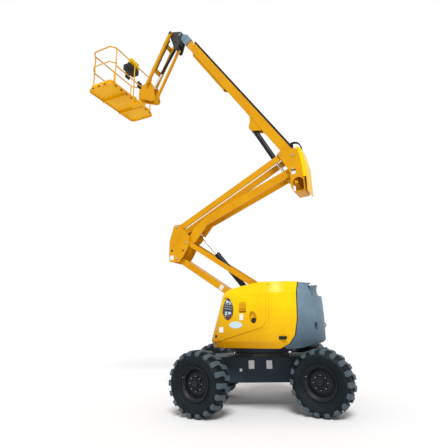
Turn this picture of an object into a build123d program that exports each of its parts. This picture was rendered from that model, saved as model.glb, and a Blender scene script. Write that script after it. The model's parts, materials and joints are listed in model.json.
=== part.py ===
"""Articulating boom lift on four steered wheels, about 17 m working height, in millimetres.

+X is forward, towards the basket, +Y is the machine's left and +Z is up. The origin lies on the
ground under the slewing centre. The turret and all it carries are drawn pointing forward and
turned by SLEW_DEG at the end; each wheel is drawn straight and turned about its kingpin.
"""
import math
import os

from build123d import *

# ---------------------------------------------------------------- rest pose, degrees
SLEW_DEG = -23.0
STEER_DEG = -27.0
LOWER_ARM_DEG = 33.3
UPPER_ARM_DEG = 27.1
BOOM_DEG = 55.9
JIB_DEG = -62.0

# ---------------------------------------------------------------- wheels and chassis
TYRE_RADIUS = 510.0
TYRE_WIDTH = 390.0
LUG_COUNT = 18
LUG_DEPTH = 30.0
LUG_SHARE = 0.42
LUG_ROW = 120.0
SHOULDER_DEG = 24.0
SIDEWALL_LIP = 404.0
RIM_RADIUS = 270.0
RIM_WIDTH = 320.0
NUT_COUNT = 8
NUT_CIRCLE = 112.0
WHEELBASE = 1970.0
TRACK = 1910.0
KINGPIN_OFFSET = 175.0
KINGPIN_RADIUS = 30.0
KNUCKLE_HEIGHT = 230.0
HUB_RADIUS = 110.0
HUB_FACE = 44.0
AXLE_DEPTH = 150.0
CHASSIS_LENGTH = 2440.0
CHASSIS_WIDTH = 820.0
CHASSIS_LOW = 430.0
CHASSIS_WAIST_LOW = 640.0
CHASSIS_TOP = 856.0
CHASSIS_TAPER = 150.0
CHASSIS_CORNER = 16.0
CHASSIS_SLOPE = 90.0
CHASSIS_END = 120.0
AXLE_CLEAR = 250.0
SLEW_RING_RADIUS = 500.0
SLEW_RING_HEIGHT = 84.0
TIE_DOWN_HOLE = 24.0
TIE_DOWN_PLATE = 20.0
TIE_DOWN_REACH = 76.0
TIE_DOWN_HEIGHT = 680.0

# ---------------------------------------------------------------- turret
DRUM_RADIUS = 640.0
DRUM_HEIGHT = 88.0
DECK_THICKNESS = 24.0
DECK_INSET = 60.0
DECK_TAIL = 720.0
TURRET_HALF_WIDTH = 1000.0
TAIL_RADIUS = 1180.0
TAIL_FRONT = 912.0
TAIL_SHARE = 0.70
TAIL_SIDE = 0.40
TAIL_BULGE = 55.0
HOOD_LOW = 1032.0
HOOD_TOP = 2110.0
BELLY_HIGH = 1142.0
HOOD_INNER = 300.0
HOOD_WALL = 10.0
HOOD_GAP = 12.0
HINGE_RADIUS = 10.0
PRESS_DEPTH = 9.0
PRESS_WALL = 8.0
RECESS_WALL = 8.0
OVAL_LEAN_DEG = 9.0
LOUVRE_CENTRE = (-56.0, 1690.0)
LOUVRE_COUNT = 6
LOUVRE_PITCH = 30.0
LOUVRE_HALF = 62.0
LOUVRE_DEPTH = 17.0
LATCH_CENTRE = (-711.0, 1200.0)
TOWER_INNER = 218.0
TOWER_PLATE = 22.0
TOWER_REAR = 85.0
REAR_BRACE = 126.0
FRONT_BRACE = 176.0
BULKHEAD_PLATE = 6.0
SLOT_LOW = 1250.0
SLOT_REAR = 1086.0
SLAB_FRONT = 490.0
SLAB_HALF_WIDTH = 660.0
SLOT_HALF = 225.0
BITE_RADIUS = 110.0
BITE_SIDE = 400.0
RING_DEG = 16.3
RING_HEIGHT = 1377.0
BITE_CENTRE = Vector(-1090.0, 0, HOOD_TOP - 118)
ENGINE_SIZE = (620.0, 420.0, 560.0)

# ---------------------------------------------------------------- arms, pins in the XZ plane
LOWER_ARM_LENGTH = 2300.0
UPPER_ARM_LENGTH = 2680.0
LOWER_LINK = Vector(-243.0, 0, 327.0)
UPPER_LINK = Vector(256.0, 0, 358.0)
LOWER_ARM_PIN = Vector(-152.0, 0, 1518.0)
BOOM_PIN_OFFSET = Vector(-24.0, 0, 282.0)
ARCH_CENTRE = Vector(-92.0, 0, -292.0)
ARCH_RADIUS = 104.0
KNUCKLE_HALF = 200.0
KNUCKLE_PLATE = 20.0
PIN_RADIUS = 25.0
PIN_HEAD = 8.0
PIN_CLEARANCE = 0.3
EYE_RADIUS = 56.0
LOWER_ARM_DEPTH = 130.0
LOWER_ARM_WIDTH = 200.0
ARM_WALL = 8.0
LOWER_TIE_DEPTH = 96.0
LOWER_TIE_INNER = 136.0
LOWER_TIE_PLATE = 30.0
UPPER_ARM_DEPTH = 168.0
UPPER_ARM_INNER = 90.0
UPPER_ARM_PLATE = 40.0
UPPER_ARM_RISE = 196.0
UPPER_ARM_BEND = 600.0
CROSS_TUBE_RADIUS = 38.0
CROSS_TUBE_BEYOND = 330.0
CROSS_TUBE_DROP = 19.5
UPPER_TIE_DEPTH = 126.0
UPPER_TIE_INNER = 135.0
UPPER_TIE_PLATE = 36.0
UPPER_TIE_DROP = 45.0

# ---------------------------------------------------------------- boom, along its own axis from the pin
BOOM_START = 130.0
BOOM_END = 4350.0
BOOM_WIDTH = 170.0
BOOM_DEPTH = 190.0
BOOM_CENTRE = -25.0
BOOM_WALL = 8.0
INNER_GAP = 7.0
WEAR_PAD = 150.0
INNER_START = 420.0
INNER_END = 4640.0
HEAD_PIN_ALONG = 4780.0
HEAD_PIN_BELOW = -60.0
BRACKET_PIN_ALONG = 1223.0
BRACKET_PIN_BELOW = -233.0
CHANNEL_START = 2480.0
CHANNEL_END = 4060.0
CHANNEL_DEPTH = 50.0
CHANNEL_HALF = 62.0
CHAIN_START = 210.0
CHAIN_PITCH = 66.0
CHAIN_WIDTH = 90.0
CHAIN_HEIGHT = 46.0

# ---------------------------------------------------------------- jib, offsets from its pins
JIB_LENGTH = 1400.0
JIB_PIN_FROM_HEAD = Vector(254.0, 0, 105.0)
JIB_LINK = Vector(-155.0, 0, -476.0)
JIB_INNER = 135.0
JIB_PLATE = 50.0
JIB_DEPTH = 80.0
JIB_BAR_DEPTH = 50.0
JIB_BAR_WIDTH = 60.0
JIB_CYLINDER_BASE = Vector(-130.0, 0, -270.0)
JIB_CYLINDER_EYE = Vector(-80.0, 0, -80.0)
BRACKET_HALF = 120.0
BRACKET_PLATE = 18.0

# ---------------------------------------------------------------- cylinders: reach, radii
ARM_CYLINDER_BASE = (268.0, 120.0)
ARM_CYLINDER_EYE = (286.0, 61.0)
# barrel length and radius, rod radius, length of rod in the barrel at rest, closing stroke from rest
ARM_CYLINDER = {"barrel": 1390.0, "radius": 56.0, "rod": 30.0, "overlap": 580.0, "stroke": 520.0,
                "half": 54.0, "eye": 40.0}
BOOM_CYLINDER_EYE = Vector(139.0, 0, -139.0)
BOOM_CYLINDER = {"barrel": 985.0, "radius": 54.0, "rod": 30.0, "overlap": 300.0, "stroke": 400.0,
                 "half": 54.0, "eye": 42.0}
JIB_CYLINDER = {"barrel": 860.0, "radius": 34.0, "rod": 18.0, "overlap": 440.0, "stroke": 40.0,
                "half": 34.0, "eye": 26.0}
EAR_PLATE = 20.0
EYE_GAP = 4.0

# ---------------------------------------------------------------- basket
BASKET_LENGTH = 1760.0
BASKET_DEPTH = 760.0
BASKET_CENTRE = 943.0
BASKET_FLOOR = -264.0
FLOOR_THICKNESS = 40.0
RAIL_HEIGHT = 1100.0
RAIL_RADIUS = 17.0
TOE_HEIGHT = 110.0
TRAY_WALL = 5.0
SLEEVE_HEIGHT = 40.0
SLEEVE_RADIUS = 23.0
ROTATOR_FROM_PIN = 293.0
ROTATOR_RADIUS = 85.0
ROTATOR_LOW = 380.0
BASKET_CORNER = 130.0
RAIL_INSET = 24.0
RAIL_BEND = 110.0
ENTRY_BAR_RADIUS = 13.0
POST_RADIUS = 16.0
POST_SETBACK = 30.0
RIB_FROM_MIDDLE = 320.0
RIB_WIDTH = 40.0
RIB_BELOW = 30.0
CONSOLE_HALF = 190.0

os.makedirs("parts", exist_ok=True)


# ---------------------------------------------------------------- drawing helpers
def along(degrees, length, side=0.0):
    """Step of a length in the XZ plane at an angle above +X, with a sideways part."""
    angle = math.radians(degrees)
    return Vector(length * math.cos(angle) - side * math.sin(angle), 0,
                  length * math.sin(angle) + side * math.cos(angle))


def plate(points, y_low, y_high, radius=0.0):
    """Plate cut in the XZ plane and as thick as its Y span, with its corners rounded."""
    outline = Polyline(*[(x, y_low, z) for x, z in points], close=True)
    solid = extrude(make_face(outline), amount=y_high - y_low, dir=(0, 1, 0))
    if radius:
        solid = fillet(solid.edges().filter_by(Axis.Y), radius)
    return solid


def rod(centre, radius, y_low, y_high):
    """Round bar along Y."""
    place = Plane(origin=(centre.X, y_low, centre.Z), x_dir=(1, 0, 0), z_dir=(0, 1, 0))
    return place * Cylinder(radius, y_high - y_low, align=(Align.CENTER, Align.CENTER, Align.MIN))


def link(start, end, depth, y_low, y_high, drop=0.0, eye=EYE_RADIUS):
    """Straight bar between two pins, its body dropped below the pin line, with eyes at both ends."""
    run = end - start
    degrees = math.degrees(math.atan2(run.Z, run.X))
    side = -drop if abs(degrees) < 90 else drop
    low, high = side - depth / 2, side + depth / 2
    corners = [start + along(degrees, 0, low), end + along(degrees, 0, low),
               end + along(degrees, 0, high), start + along(degrees, 0, high)]
    bar = plate([(c.X, c.Z) for c in corners], y_low, y_high)
    return bar + rod(start, eye, y_low, y_high) + rod(end, eye, y_low, y_high)


def both_sides(solid):
    """A piece on the left side with its mirror image on the right."""
    return solid + mirror(solid, about=Plane.XZ)


def hole(centre, half, radius=PIN_RADIUS):
    """Bore along Y for a pin, with running clearance."""
    return rod(centre, radius + PIN_CLEARANCE, -half, half)


def headed_pin(centre, half, inner=None):
    """Pin across the machine, or a pair of stubs that stop at an inner distance."""
    low = -half if inner is None else inner
    if inner is None:
        return rod(centre, PIN_RADIUS, -half, half) + both_sides(
            rod(centre, PIN_RADIUS * 1.5, half - PIN_HEAD + PIN_CLEARANCE, half))
    return both_sides(rod(centre, PIN_RADIUS, low, half)
                      + rod(centre, PIN_RADIUS * 1.5, half - PIN_HEAD + PIN_CLEARANCE, half))


def between(start, end):
    """Plane at the start whose Z points to the end."""
    direction = (end - start).normalized()
    sideways = (1, 0, 0) if abs(direction.Y) > 0.9 else (0, 1, 0)
    return Plane(origin=start, x_dir=sideways, z_dir=direction)


def cylinder_pair(base, eye, sizes):
    """Hydraulic cylinder: the barrel with its base eye, and the rod with its own eye."""
    place = between(base, eye)
    length = (eye - base).length
    bottom = (Align.CENTER, Align.CENTER, Align.MIN)
    half = sizes["half"]
    barrel = place * (Pos(0, 0, 60) * Cylinder(sizes["radius"], sizes["barrel"] - 60, align=bottom))
    gland = place * (Pos(0, 0, sizes["barrel"] - 55) * Cylinder(sizes["radius"] + 5, 55, align=bottom))
    barrel = barrel + gland + rod(base, sizes["radius"] - 6, -half, half)
    barrel = barrel + place * (Pos(0, 0, 30) * Box(sizes["radius"], sizes["radius"] * 1.5, 60))
    depth = sizes["overlap"] + sizes["stroke"]
    barrel -= place * (Pos(0, 0, sizes["barrel"] - depth) * Cylinder(sizes["rod"] + 0.5, depth + 10, align=bottom))
    barrel -= hole(base, half + 1)
    start = sizes["barrel"] - sizes["overlap"]
    shaft = place * (Pos(0, 0, start) * Cylinder(sizes["rod"], length - start - 20, align=bottom))
    shaft = shaft + rod(eye, sizes["eye"], -half, half)
    return barrel, shaft


def box_between(low, high):
    """Box from its lowest to its highest corner."""
    size = [b - a for a, b in zip(low, high)]
    middle = [(a + b) / 2 for a, b in zip(low, high)]
    return Pos(*middle) * Box(*size)


slewed = Rot(0, 0, SLEW_DEG)


def write(name, solid, turned=True):
    """Export one node, turned with the turret unless it belongs to the undercarriage."""
    shape = slewed * solid if turned else solid
    shape.label = name
    export_step(shape, f"parts/{name}.step")


# ---------------------------------------------------------------- pin positions at rest
lower_tie_pin = LOWER_ARM_PIN + LOWER_LINK
front_low_pin = LOWER_ARM_PIN + along(LOWER_ARM_DEG, LOWER_ARM_LENGTH)
front_mid_pin = front_low_pin + LOWER_LINK
front_top_pin = front_mid_pin + UPPER_LINK
arm_back_deg = 180.0 - UPPER_ARM_DEG
rear_arm_pin = front_mid_pin + along(arm_back_deg, UPPER_ARM_LENGTH)
rear_tie_pin = rear_arm_pin + UPPER_LINK
boom_pin = rear_arm_pin + BOOM_PIN_OFFSET
head_pin = boom_pin + along(BOOM_DEG, HEAD_PIN_ALONG, HEAD_PIN_BELOW)
jib_pin = head_pin + JIB_PIN_FROM_HEAD
jib_bar_pin = jib_pin + JIB_LINK
foot_pin = jib_pin + along(JIB_DEG, JIB_LENGTH)
foot_bar_pin = foot_pin + JIB_LINK
arm_cylinder_base = LOWER_ARM_PIN + along(LOWER_ARM_DEG, *ARM_CYLINDER_BASE)
arm_cylinder_eye = front_mid_pin + along(arm_back_deg, ARM_CYLINDER_EYE[0], -ARM_CYLINDER_EYE[1])
boom_cylinder_eye = rear_arm_pin + BOOM_CYLINDER_EYE
boom_cylinder_base = boom_pin + along(BOOM_DEG, BRACKET_PIN_ALONG, BRACKET_PIN_BELOW)
jib_cylinder_base = jib_pin + JIB_CYLINDER_BASE
jib_cylinder_eye = foot_pin + JIB_CYLINDER_EYE

# ---------------------------------------------------------------- wheels
bottom = (Align.CENTER, Align.CENTER, Align.MIN)
half_kingpin = TRACK / 2 - KINGPIN_OFFSET
half_tyre = TYRE_WIDTH / 2
half_rim = RIM_WIDTH / 2


def spun(points):
    """Solid turned about the Y axis from a list of radius and Y pairs."""
    outline = Polyline(*[(radius, y, 0) for radius, y in points], close=True)
    return revolve(make_face(outline), Axis.Y, 360)


def lug_star(offset):
    """Gear-shaped face of one lug row: its lugs stand flat at the tyre's radius."""
    pitch = 360.0 / LUG_COUNT
    tip = TYRE_RADIUS / math.cos(math.radians(pitch * LUG_SHARE / 2))
    corners = ((TYRE_RADIUS - LUG_DEPTH, -LUG_SHARE / 2 - 0.05), (tip, -LUG_SHARE / 2),
               (tip, LUG_SHARE / 2), (TYRE_RADIUS - LUG_DEPTH, LUG_SHARE / 2 + 0.05))
    points = []
    for index in range(LUG_COUNT):
        for radius, turn in corners:
            angle = math.radians((index + offset + turn) * pitch)
            points.append((radius * math.sin(angle), 0, radius * math.cos(angle)))
    return make_face(Polyline(*points, close=True))


def lug_row(side, offset):
    """One row of lugs from the middle of the tread to a shoulder that falls away."""
    star = lug_star(offset)
    tread = extrude(star, amount=LUG_ROW, dir=(0, side, 0))
    shoulder = extrude(Pos(0, side * LUG_ROW, 0) * star, amount=half_tyre - LUG_ROW, dir=(0, side, 0),
                       taper=SHOULDER_DEG)
    return tread + shoulder


def make_tyre():
    """Tyre centred on the origin with its axis along Y: two rows of staggered lugs on a dished carcass."""
    bead = half_rim - 14
    well = [(0, half_tyre + 5), (SIDEWALL_LIP, half_tyre + 5), (SIDEWALL_LIP, half_tyre),
            (RIM_RADIUS + 22, bead + 8), (RIM_RADIUS + 1 + PIN_CLEARANCE, bead)]
    well = well + [(radius, -y) for radius, y in reversed(well)]
    return lug_row(1, 0.0) + lug_row(-1, 0.5) - spun(well)


def make_rim(side):
    """Dished rim with its centre disc, the hub boss and nuts outward on the given side."""
    well = [(RIM_RADIUS + 1, -half_rim), (RIM_RADIUS + 1, -half_rim + 30), (RIM_RADIUS - 40, -half_rim + 60),
            (RIM_RADIUS - 40, half_rim - 60), (RIM_RADIUS + 1, half_rim - 30), (RIM_RADIUS + 1, half_rim),
            (RIM_RADIUS - 11, half_rim), (RIM_RADIUS - 11, half_rim - 32),
            (RIM_RADIUS - 52, half_rim - 64), (RIM_RADIUS - 52, 40), (160.0, 62.0), (0.01, 62.0),
            (0.01, HUB_FACE), (152.0, HUB_FACE), (RIM_RADIUS - 52, 22), (RIM_RADIUS - 52, -half_rim + 64),
            (RIM_RADIUS - 11, -half_rim + 32), (RIM_RADIUS - 11, -half_rim)]
    rim = spun([(radius, y * side) for radius, y in well])
    place = Plane(origin=(0, 62.0 * side, 0), x_dir=(1, 0, 0), z_dir=(0, side, 0))
    rim = rim + place * Cylinder(84, 30, align=bottom)
    rim = rim + place * (Pos(0, 0, 30) * Cone(62, 46, 40, align=bottom))
    for index in range(NUT_COUNT):
        spot = Rot(0, 0, index * 360.0 / NUT_COUNT) * Pos(NUT_CIRCLE, 0, 0)
        rim = rim + place * (spot * extrude(RegularPolygon(15, 6), 20))
    return rim


def make_steering_knuckle(side):
    """Forging that turns on the kingpin and carries the hub, drawn about the kingpin."""
    reach = KINGPIN_OFFSET + HUB_FACE - PIN_CLEARANCE
    post = Cylinder(62, KNUCKLE_HEIGHT - 64)
    post -= Cylinder(KINGPIN_RADIUS + PIN_CLEARANCE, KNUCKLE_HEIGHT)
    outward = Plane(origin=(0, 0, 0), x_dir=(1, 0, 0), z_dir=(0, side, 0))
    spindle = outward * (Pos(0, 0, 50) * Cylinder(HUB_RADIUS - 32, 70, align=bottom))
    spindle = spindle + outward * (Pos(0, 0, 50) * Cylinder(46, reach - 50, align=bottom))
    drum = outward * (Pos(0, 0, 120) * Cylinder(HUB_RADIUS, reach - 120, align=bottom))
    arm = box_between((-190, -30, -46), (-40, 30, -14))
    return post + spindle + drum + arm


tyre = make_tyre()
for end, x_axle in (("front", WHEELBASE / 2), ("rear", -WHEELBASE / 2)):
    for hand, side in (("left", 1), ("right", -1)):
        turn = Pos(x_axle, side * half_kingpin, TYRE_RADIUS) * Rot(0, 0, STEER_DEG)
        wheel = turn * Pos(0, side * KINGPIN_OFFSET, 0)
        corner = f"{end}_{hand}"
        write(f"tyre_{corner}", wheel * tyre, turned=False)
        write(f"rim_{corner}", wheel * make_rim(side), turned=False)
        write(f"steering_knuckle_{corner}", turn * make_steering_knuckle(side), turned=False)

# ---------------------------------------------------------------- axles


def make_axle(x_axle):
    """Axle beam with a bulged gear case in the middle and a yoke for each kingpin."""
    beam = box_between((-65, -half_kingpin + 130, -AXLE_DEPTH / 2), (65, half_kingpin - 130, AXLE_DEPTH / 2))
    case = Sphere(124)
    mount = box_between((-110, -180, 60), (110, 180, CHASSIS_WAIST_LOW - TYRE_RADIUS))
    axle = beam + case + mount
    for side in (1, -1):
        place = Pos(0, side * half_kingpin, 0)
        yoke = place * box_between((-66, -70, -KNUCKLE_HEIGHT / 2), (66, 62, KNUCKLE_HEIGHT / 2))
        if side > 0:
            yoke = yoke + place * box_between((-66, -140, -KNUCKLE_HEIGHT / 2), (66, -68, KNUCKLE_HEIGHT / 2))
        else:
            yoke = place * box_between((-66, -62, -KNUCKLE_HEIGHT / 2), (66, 140, KNUCKLE_HEIGHT / 2))
        room = place * Cylinder(112, KNUCKLE_HEIGHT - 58)
        pins = place * Cylinder(KINGPIN_RADIUS, KNUCKLE_HEIGHT)
        axle = axle + yoke - room + pins
    return Pos(x_axle, 0, TYRE_RADIUS) * axle


# ---------------------------------------------------------------- chassis
half_length = CHASSIS_LENGTH / 2
half_width = CHASSIS_WIDTH / 2


def make_chassis():
    """Closed box frame, low between the axles and raised over them, with a lug at each corner."""
    x_waist = WHEELBASE / 2 - AXLE_CLEAR
    x_slope = x_waist + CHASSIS_SLOPE / 3
    x_low = x_slope - CHASSIS_SLOPE
    side_view = [(-half_length, CHASSIS_WAIST_LOW), (-x_slope, CHASSIS_WAIST_LOW),
                 (-x_low, CHASSIS_LOW), (x_low, CHASSIS_LOW),
                 (x_slope, CHASSIS_WAIST_LOW), (half_length, CHASSIS_WAIST_LOW),
                 (half_length, CHASSIS_TOP - CHASSIS_TAPER), (half_length - CHASSIS_END, CHASSIS_TOP),
                 (-half_length + CHASSIS_END, CHASSIS_TOP), (-half_length, CHASSIS_TOP - CHASSIS_TAPER)]
    body = plate(side_view, -half_width, half_width, radius=CHASSIS_CORNER)
    for x_sign in (1, -1):
        for y_sign in (1, -1):
            x_root = x_sign * (half_length - 30)
            x_tip = x_sign * (half_length + TIE_DOWN_REACH)
            y_lug = y_sign * (half_width - 60)
            lug = box_between((min(x_root, x_tip), y_lug - 55, TIE_DOWN_HEIGHT - TIE_DOWN_PLATE / 2),
                              (max(x_root, x_tip), y_lug + 55, TIE_DOWN_HEIGHT + TIE_DOWN_PLATE / 2))
            lug = fillet(lug.edges().filter_by(Axis.Z).sort_by(Axis.X)[-2:] if x_sign > 0
                         else lug.edges().filter_by(Axis.Z).sort_by(Axis.X)[:2], 30)
            bore = Pos(x_tip - x_sign * 46, y_lug, TIE_DOWN_HEIGHT) * Cylinder(TIE_DOWN_HOLE, TIE_DOWN_PLATE * 2)
            body = body + lug - bore
    return body


write("chassis_frame", make_chassis(), turned=False)
write("axle_front", make_axle(WHEELBASE / 2), turned=False)
write("axle_rear", make_axle(-WHEELBASE / 2), turned=False)

slew_ring = Pos(0, 0, CHASSIS_TOP) * (Cylinder(SLEW_RING_RADIUS, SLEW_RING_HEIGHT - 26, align=bottom)
                                      - Cylinder(SLEW_RING_RADIUS - 90, SLEW_RING_HEIGHT, align=bottom))
slew_ring = slew_ring + Pos(0, 0, CHASSIS_TOP) * (
    Cylinder(SLEW_RING_RADIUS - 40, SLEW_RING_HEIGHT - 0.5, align=bottom)
    - Cylinder(SLEW_RING_RADIUS - 90, SLEW_RING_HEIGHT, align=bottom))
write("slew_ring", slew_ring, turned=False)

# ---------------------------------------------------------------- turret
drum_low = CHASSIS_TOP + SLEW_RING_HEIGHT
deck_low = drum_low + DRUM_HEIGHT
deck_top = deck_low + DECK_THICKNESS


def plan_outline(front, half, tail, z, corner):
    """Left half of the plan: straight front and side, rounded corners and a tail arc about the origin."""
    bend = corner * (1 - math.sqrt(0.5))
    tail_y = half * TAIL_SHARE
    tail_x = -math.sqrt(tail ** 2 - tail_y ** 2)
    side_x = tail_x * TAIL_SIDE
    bulge = ((side_x + tail_x) / 2 - TAIL_BULGE, half * (1 + TAIL_SHARE) / 2 + TAIL_BULGE)
    left = [
        Line((front, 0, z), (front, half - corner, z)),
        ThreePointArc((front, half - corner, z), (front - bend, half - bend, z), (front - corner, half, z)),
        Line((front - corner, half, z), (side_x, half, z)),
        ThreePointArc((side_x, half, z), (*bulge, z), (tail_x, tail_y, z)),
        ThreePointArc((tail_x, tail_y, z), (-math.sqrt(tail ** 2 - tail_y ** 2 / 4), tail_y / 2, z), (-tail, 0, z)),
    ]
    return make_face(Wire(left + [Line((-tail, 0, z), (front, 0, z))]))


shell_sections = (
    # height, front, half width, tail radius, front corner radius
    (HOOD_LOW, 592.0, TURRET_HALF_WIDTH - 40, TAIL_RADIUS - 16, 250.0),
    (HOOD_LOW + 110, 632.0, TURRET_HALF_WIDTH, TAIL_RADIUS, 260.0),
    (HOOD_LOW + 508, 508.0, TURRET_HALF_WIDTH, TAIL_RADIUS, 260.0),
    (HOOD_TOP - 190, 400.0, TURRET_HALF_WIDTH - 30, TAIL_RADIUS - 20, 240.0),
    (HOOD_TOP, 240.0, TURRET_HALF_WIDTH - 120, TAIL_RADIUS - 90, 200.0),
)
# side view of the roof: x and z
roof_line = ((700.0, HOOD_TOP - 410), (400.0, HOOD_TOP - 210), (330.0, HOOD_TOP - 145), (200.0, HOOD_TOP - 105),
             (0.0, HOOD_TOP - 60), (-250.0, HOOD_TOP - 14), (-400.0, HOOD_TOP), (-1400.0, HOOD_TOP))
# side view of the underside, rising towards the tail over the wheels
belly_line = ((-900.0, HOOD_LOW), (-966.0, HOOD_LOW + 6), (-1049.0, HOOD_LOW + 32), (-1105.0, HOOD_LOW + 66),
              (-1154.0, HOOD_LOW + 95), (-1300.0, BELLY_HIGH))


def body_block(inset):
    """Outer form of the turret body, or the same form brought in by a wall."""
    blocks = []
    for lower, upper in zip(shell_sections, shell_sections[1:]):
        faces = [plan_outline(front - inset, half - inset, tail - inset, z, corner - inset / 2)
                 for z, front, half, tail, corner in (lower, upper)]
        blocks.append(loft(faces, ruled=True))
    half_block = blocks[0] + blocks[1] + blocks[2] + blocks[3]
    block = both_sides(half_block)
    roof = plate([(x, z - inset) for x, z in roof_line] + [(-1400.0, HOOD_LOW - 10), (700.0, HOOD_LOW - 10)],
                 -1400, 1400)
    belly = plate(list(belly_line) + [(-1300.0, HOOD_LOW - 20), (-900.0, HOOD_LOW - 20)], -1400, 1400)
    return (block & roof) - belly


# side view of the joint between the hoods and the tail, curving forward at its foot
joint_line = ((-TAIL_FRONT, HOOD_TOP + 40), (-TAIL_FRONT, HOOD_LOW + 470), (-TAIL_FRONT + 38, HOOD_LOW + 206),
              (-TAIL_FRONT + 115, HOOD_LOW + 77), (-TAIL_FRONT + 263, HOOD_LOW - 5), (-TAIL_FRONT + 263, HOOD_LOW - 60))


def ahead_of_joint(gap, y_low, y_high):
    """Room in front of the joint, kept back from it by a gap."""
    front = [(1300.0, HOOD_LOW - 60), (1300.0, HOOD_TOP + 40)]
    return plate([(x + gap, z) for x, z in joint_line] + front, y_low, y_high)


outer_form = body_block(0.0)
inner_form = body_block(HOOD_WALL)
joint_x = -TAIL_FRONT


hinge_spans = ((-880.0, -780.0), (-520.0, -420.0))
bottom_align = (Align.CENTER, Align.CENTER, Align.MIN)


def hinge_barrels(side, radius, beyond=0.0):
    """Hinge knuckles along the hood's inner top edge, or their notches, which reach beyond their ends."""
    barrels = None
    for x_start, x_end in hinge_spans:
        place = Plane(origin=(x_start - beyond, side * HOOD_INNER, HOOD_TOP), x_dir=(0, 1, 0), z_dir=(1, 0, 0))
        barrel = place * Cylinder(radius, x_end - x_start + 2 * beyond, align=bottom_align)
        barrels = barrel if barrels is None else barrels + barrel
    return barrels


# pressed line that runs down each hood and sweeps forward: its two edges in side view
press_rear = ((-516.0, 2062.0), (-516.0, 1425.0), (-470.0, 1342.0), (-167.0, 1268.0), (108.0, 1194.0),
              (390.0, 1118.0), (640.0, 1052.0))
press_front = ((640.0, 1070.0), (390.0, 1140.0), (108.0, 1222.0), (-167.0, 1302.0), (-400.0, 1368.0),
               (-464.0, 1450.0), (-464.0, 2062.0))


def pressed(grow, depth, side):
    """Solid outside the body's form at a depth, within the pressed line."""
    outline = make_face(Polyline(*[(x, 0, z) for x, z in press_rear + press_front], close=True))
    if grow:
        outline = offset(outline, grow, kind=Kind.INTERSECTION)
    prism = extrude(outline, amount=side * 1400.0, dir=(0, 1, 0))
    return prism - body_block(depth)


def oval(centre, half_wide, half_high, side, y_from):
    """Leaning oval prism from a distance off the middle outward."""
    x, z = centre
    place = Plane(origin=(x, side * y_from, z), x_dir=(1, 0, 0), z_dir=(0, side, 0))
    lean = OVAL_LEAN_DEG * side
    return place * (Rot(0, 0, lean) * extrude(Ellipse(half_wide, half_high), 500))


hood_ovals = (
    # centre, half width, half height, floor of the recess off the middle, on the left hood only
    ((234.0, 1672.0), 118.0, 200.0, 926.0, True),
    ((-240.0, 1523.0), 62.0, 98.0, 950.0, False),
)


def make_hood(side):
    """Hinged cover over one side of the turret: a thin shell, open below and towards the arms."""
    edge, outside = side * HOOD_INNER, side * 1400.0
    zone = ahead_of_joint(0.0, min(edge, outside), max(edge, outside))
    near = edge - side * 5
    inner = inner_form - pressed(PRESS_WALL, PRESS_DEPTH + HOOD_WALL, side)
    cavity = inner & box_between((joint_x - 40, min(near, outside), HOOD_LOW - 20),
                                 (1200.0, max(near, outside), HOOD_TOP + 10))
    shell = (outer_form - pressed(0, PRESS_DEPTH, side)) & zone
    shell = shell - cavity
    for centre, half_wide, half_high, floor, left_only in hood_ovals:
        if left_only and side < 0:
            continue
        tray = oval(centre, half_wide + RECESS_WALL, half_high + RECESS_WALL, side, floor - RECESS_WALL)
        shell = shell + (tray & outer_form) - oval(centre, half_wide, half_high, side, floor)
    for slat in range(LOUVRE_COUNT):
        z_slat = LOUVRE_CENTRE[1] + (slat - (LOUVRE_COUNT - 1) / 2) * LOUVRE_PITCH
        y_cut = side * (TURRET_HALF_WIDTH - LOUVRE_DEPTH)
        shell = shell - box_between((LOUVRE_CENTRE[0] - LOUVRE_HALF, min(y_cut, outside), z_slat - 9),
                                    (LOUVRE_CENTRE[0] + LOUVRE_HALF, max(y_cut, outside), z_slat + 9))
    latch = box_between((LATCH_CENTRE[0] - 54, min(side * 700, outside), LATCH_CENTRE[1] - 22),
                        (LATCH_CENTRE[0] + 54, max(side * 700, outside), LATCH_CENTRE[1] + 22))
    shell = shell - latch
    return shell + hinge_barrels(side, HINGE_RADIUS)


for hand, side in (("left", 1), ("right", -1)):
    write(f"hood_{hand}", make_hood(side))


def make_counterweight():
    """Cast tail weight with a slab forward over the deck and the rear knuckle's slot down its middle."""
    rear = joint_x - HOOD_GAP
    tail = (outer_form & box_between((-1400, -1400, HOOD_LOW), (0, 1400, HOOD_TOP - 10))) - ahead_of_joint(
        -HOOD_GAP, -1400, 1400)
    tail = tail - box_between((rear, -HOOD_INNER - PIN_CLEARANCE * 4, 0), (0, HOOD_INNER + PIN_CLEARANCE * 4, 3000))
    tail = tail - box_between((-DECK_TAIL - 20, -1400, 0), (0, 1400, deck_top + PIN_CLEARANCE * 4))
    slab = box_between((rear - 60, -SLAB_HALF_WIDTH, deck_top + PIN_CLEARANCE),
                       (-SLAB_FRONT, SLAB_HALF_WIDTH, SLOT_LOW))
    slab = slab - box_between((rear - 70, -SLAB_HALF_WIDTH - 40, HOOD_LOW), (-DECK_TAIL, SLAB_HALF_WIDTH + 40, BELLY_HIGH))
    slot = box_between((-SLOT_REAR, -SLOT_HALF, SLOT_LOW), (joint_x + 600, SLOT_HALF, HOOD_TOP + 50))
    bite = rod(BITE_CENTRE, BITE_RADIUS, -1400, BITE_SIDE) + box_between(
        (-1400, -1400, BITE_CENTRE.Z - BITE_RADIUS),
        (BITE_CENTRE.X, BITE_SIDE, BITE_CENTRE.Z + BITE_RADIUS * 0.9))
    weight = tail + slab - slot - bite
    for side in (1, -1):
        spot = Rot(0, 0, -side * RING_DEG) * Pos(-TAIL_RADIUS, 0, RING_HEIGHT)
        pocket = spot * (Rot(0, 90, 0) * Cylinder(66, 110))
        ring = spot * (Pos(22, 0, 0) * Rot(90, 0, 0) * Torus(44, 9))
        weight = weight - pocket + ring
    return weight


write("counterweight", make_counterweight())


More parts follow.
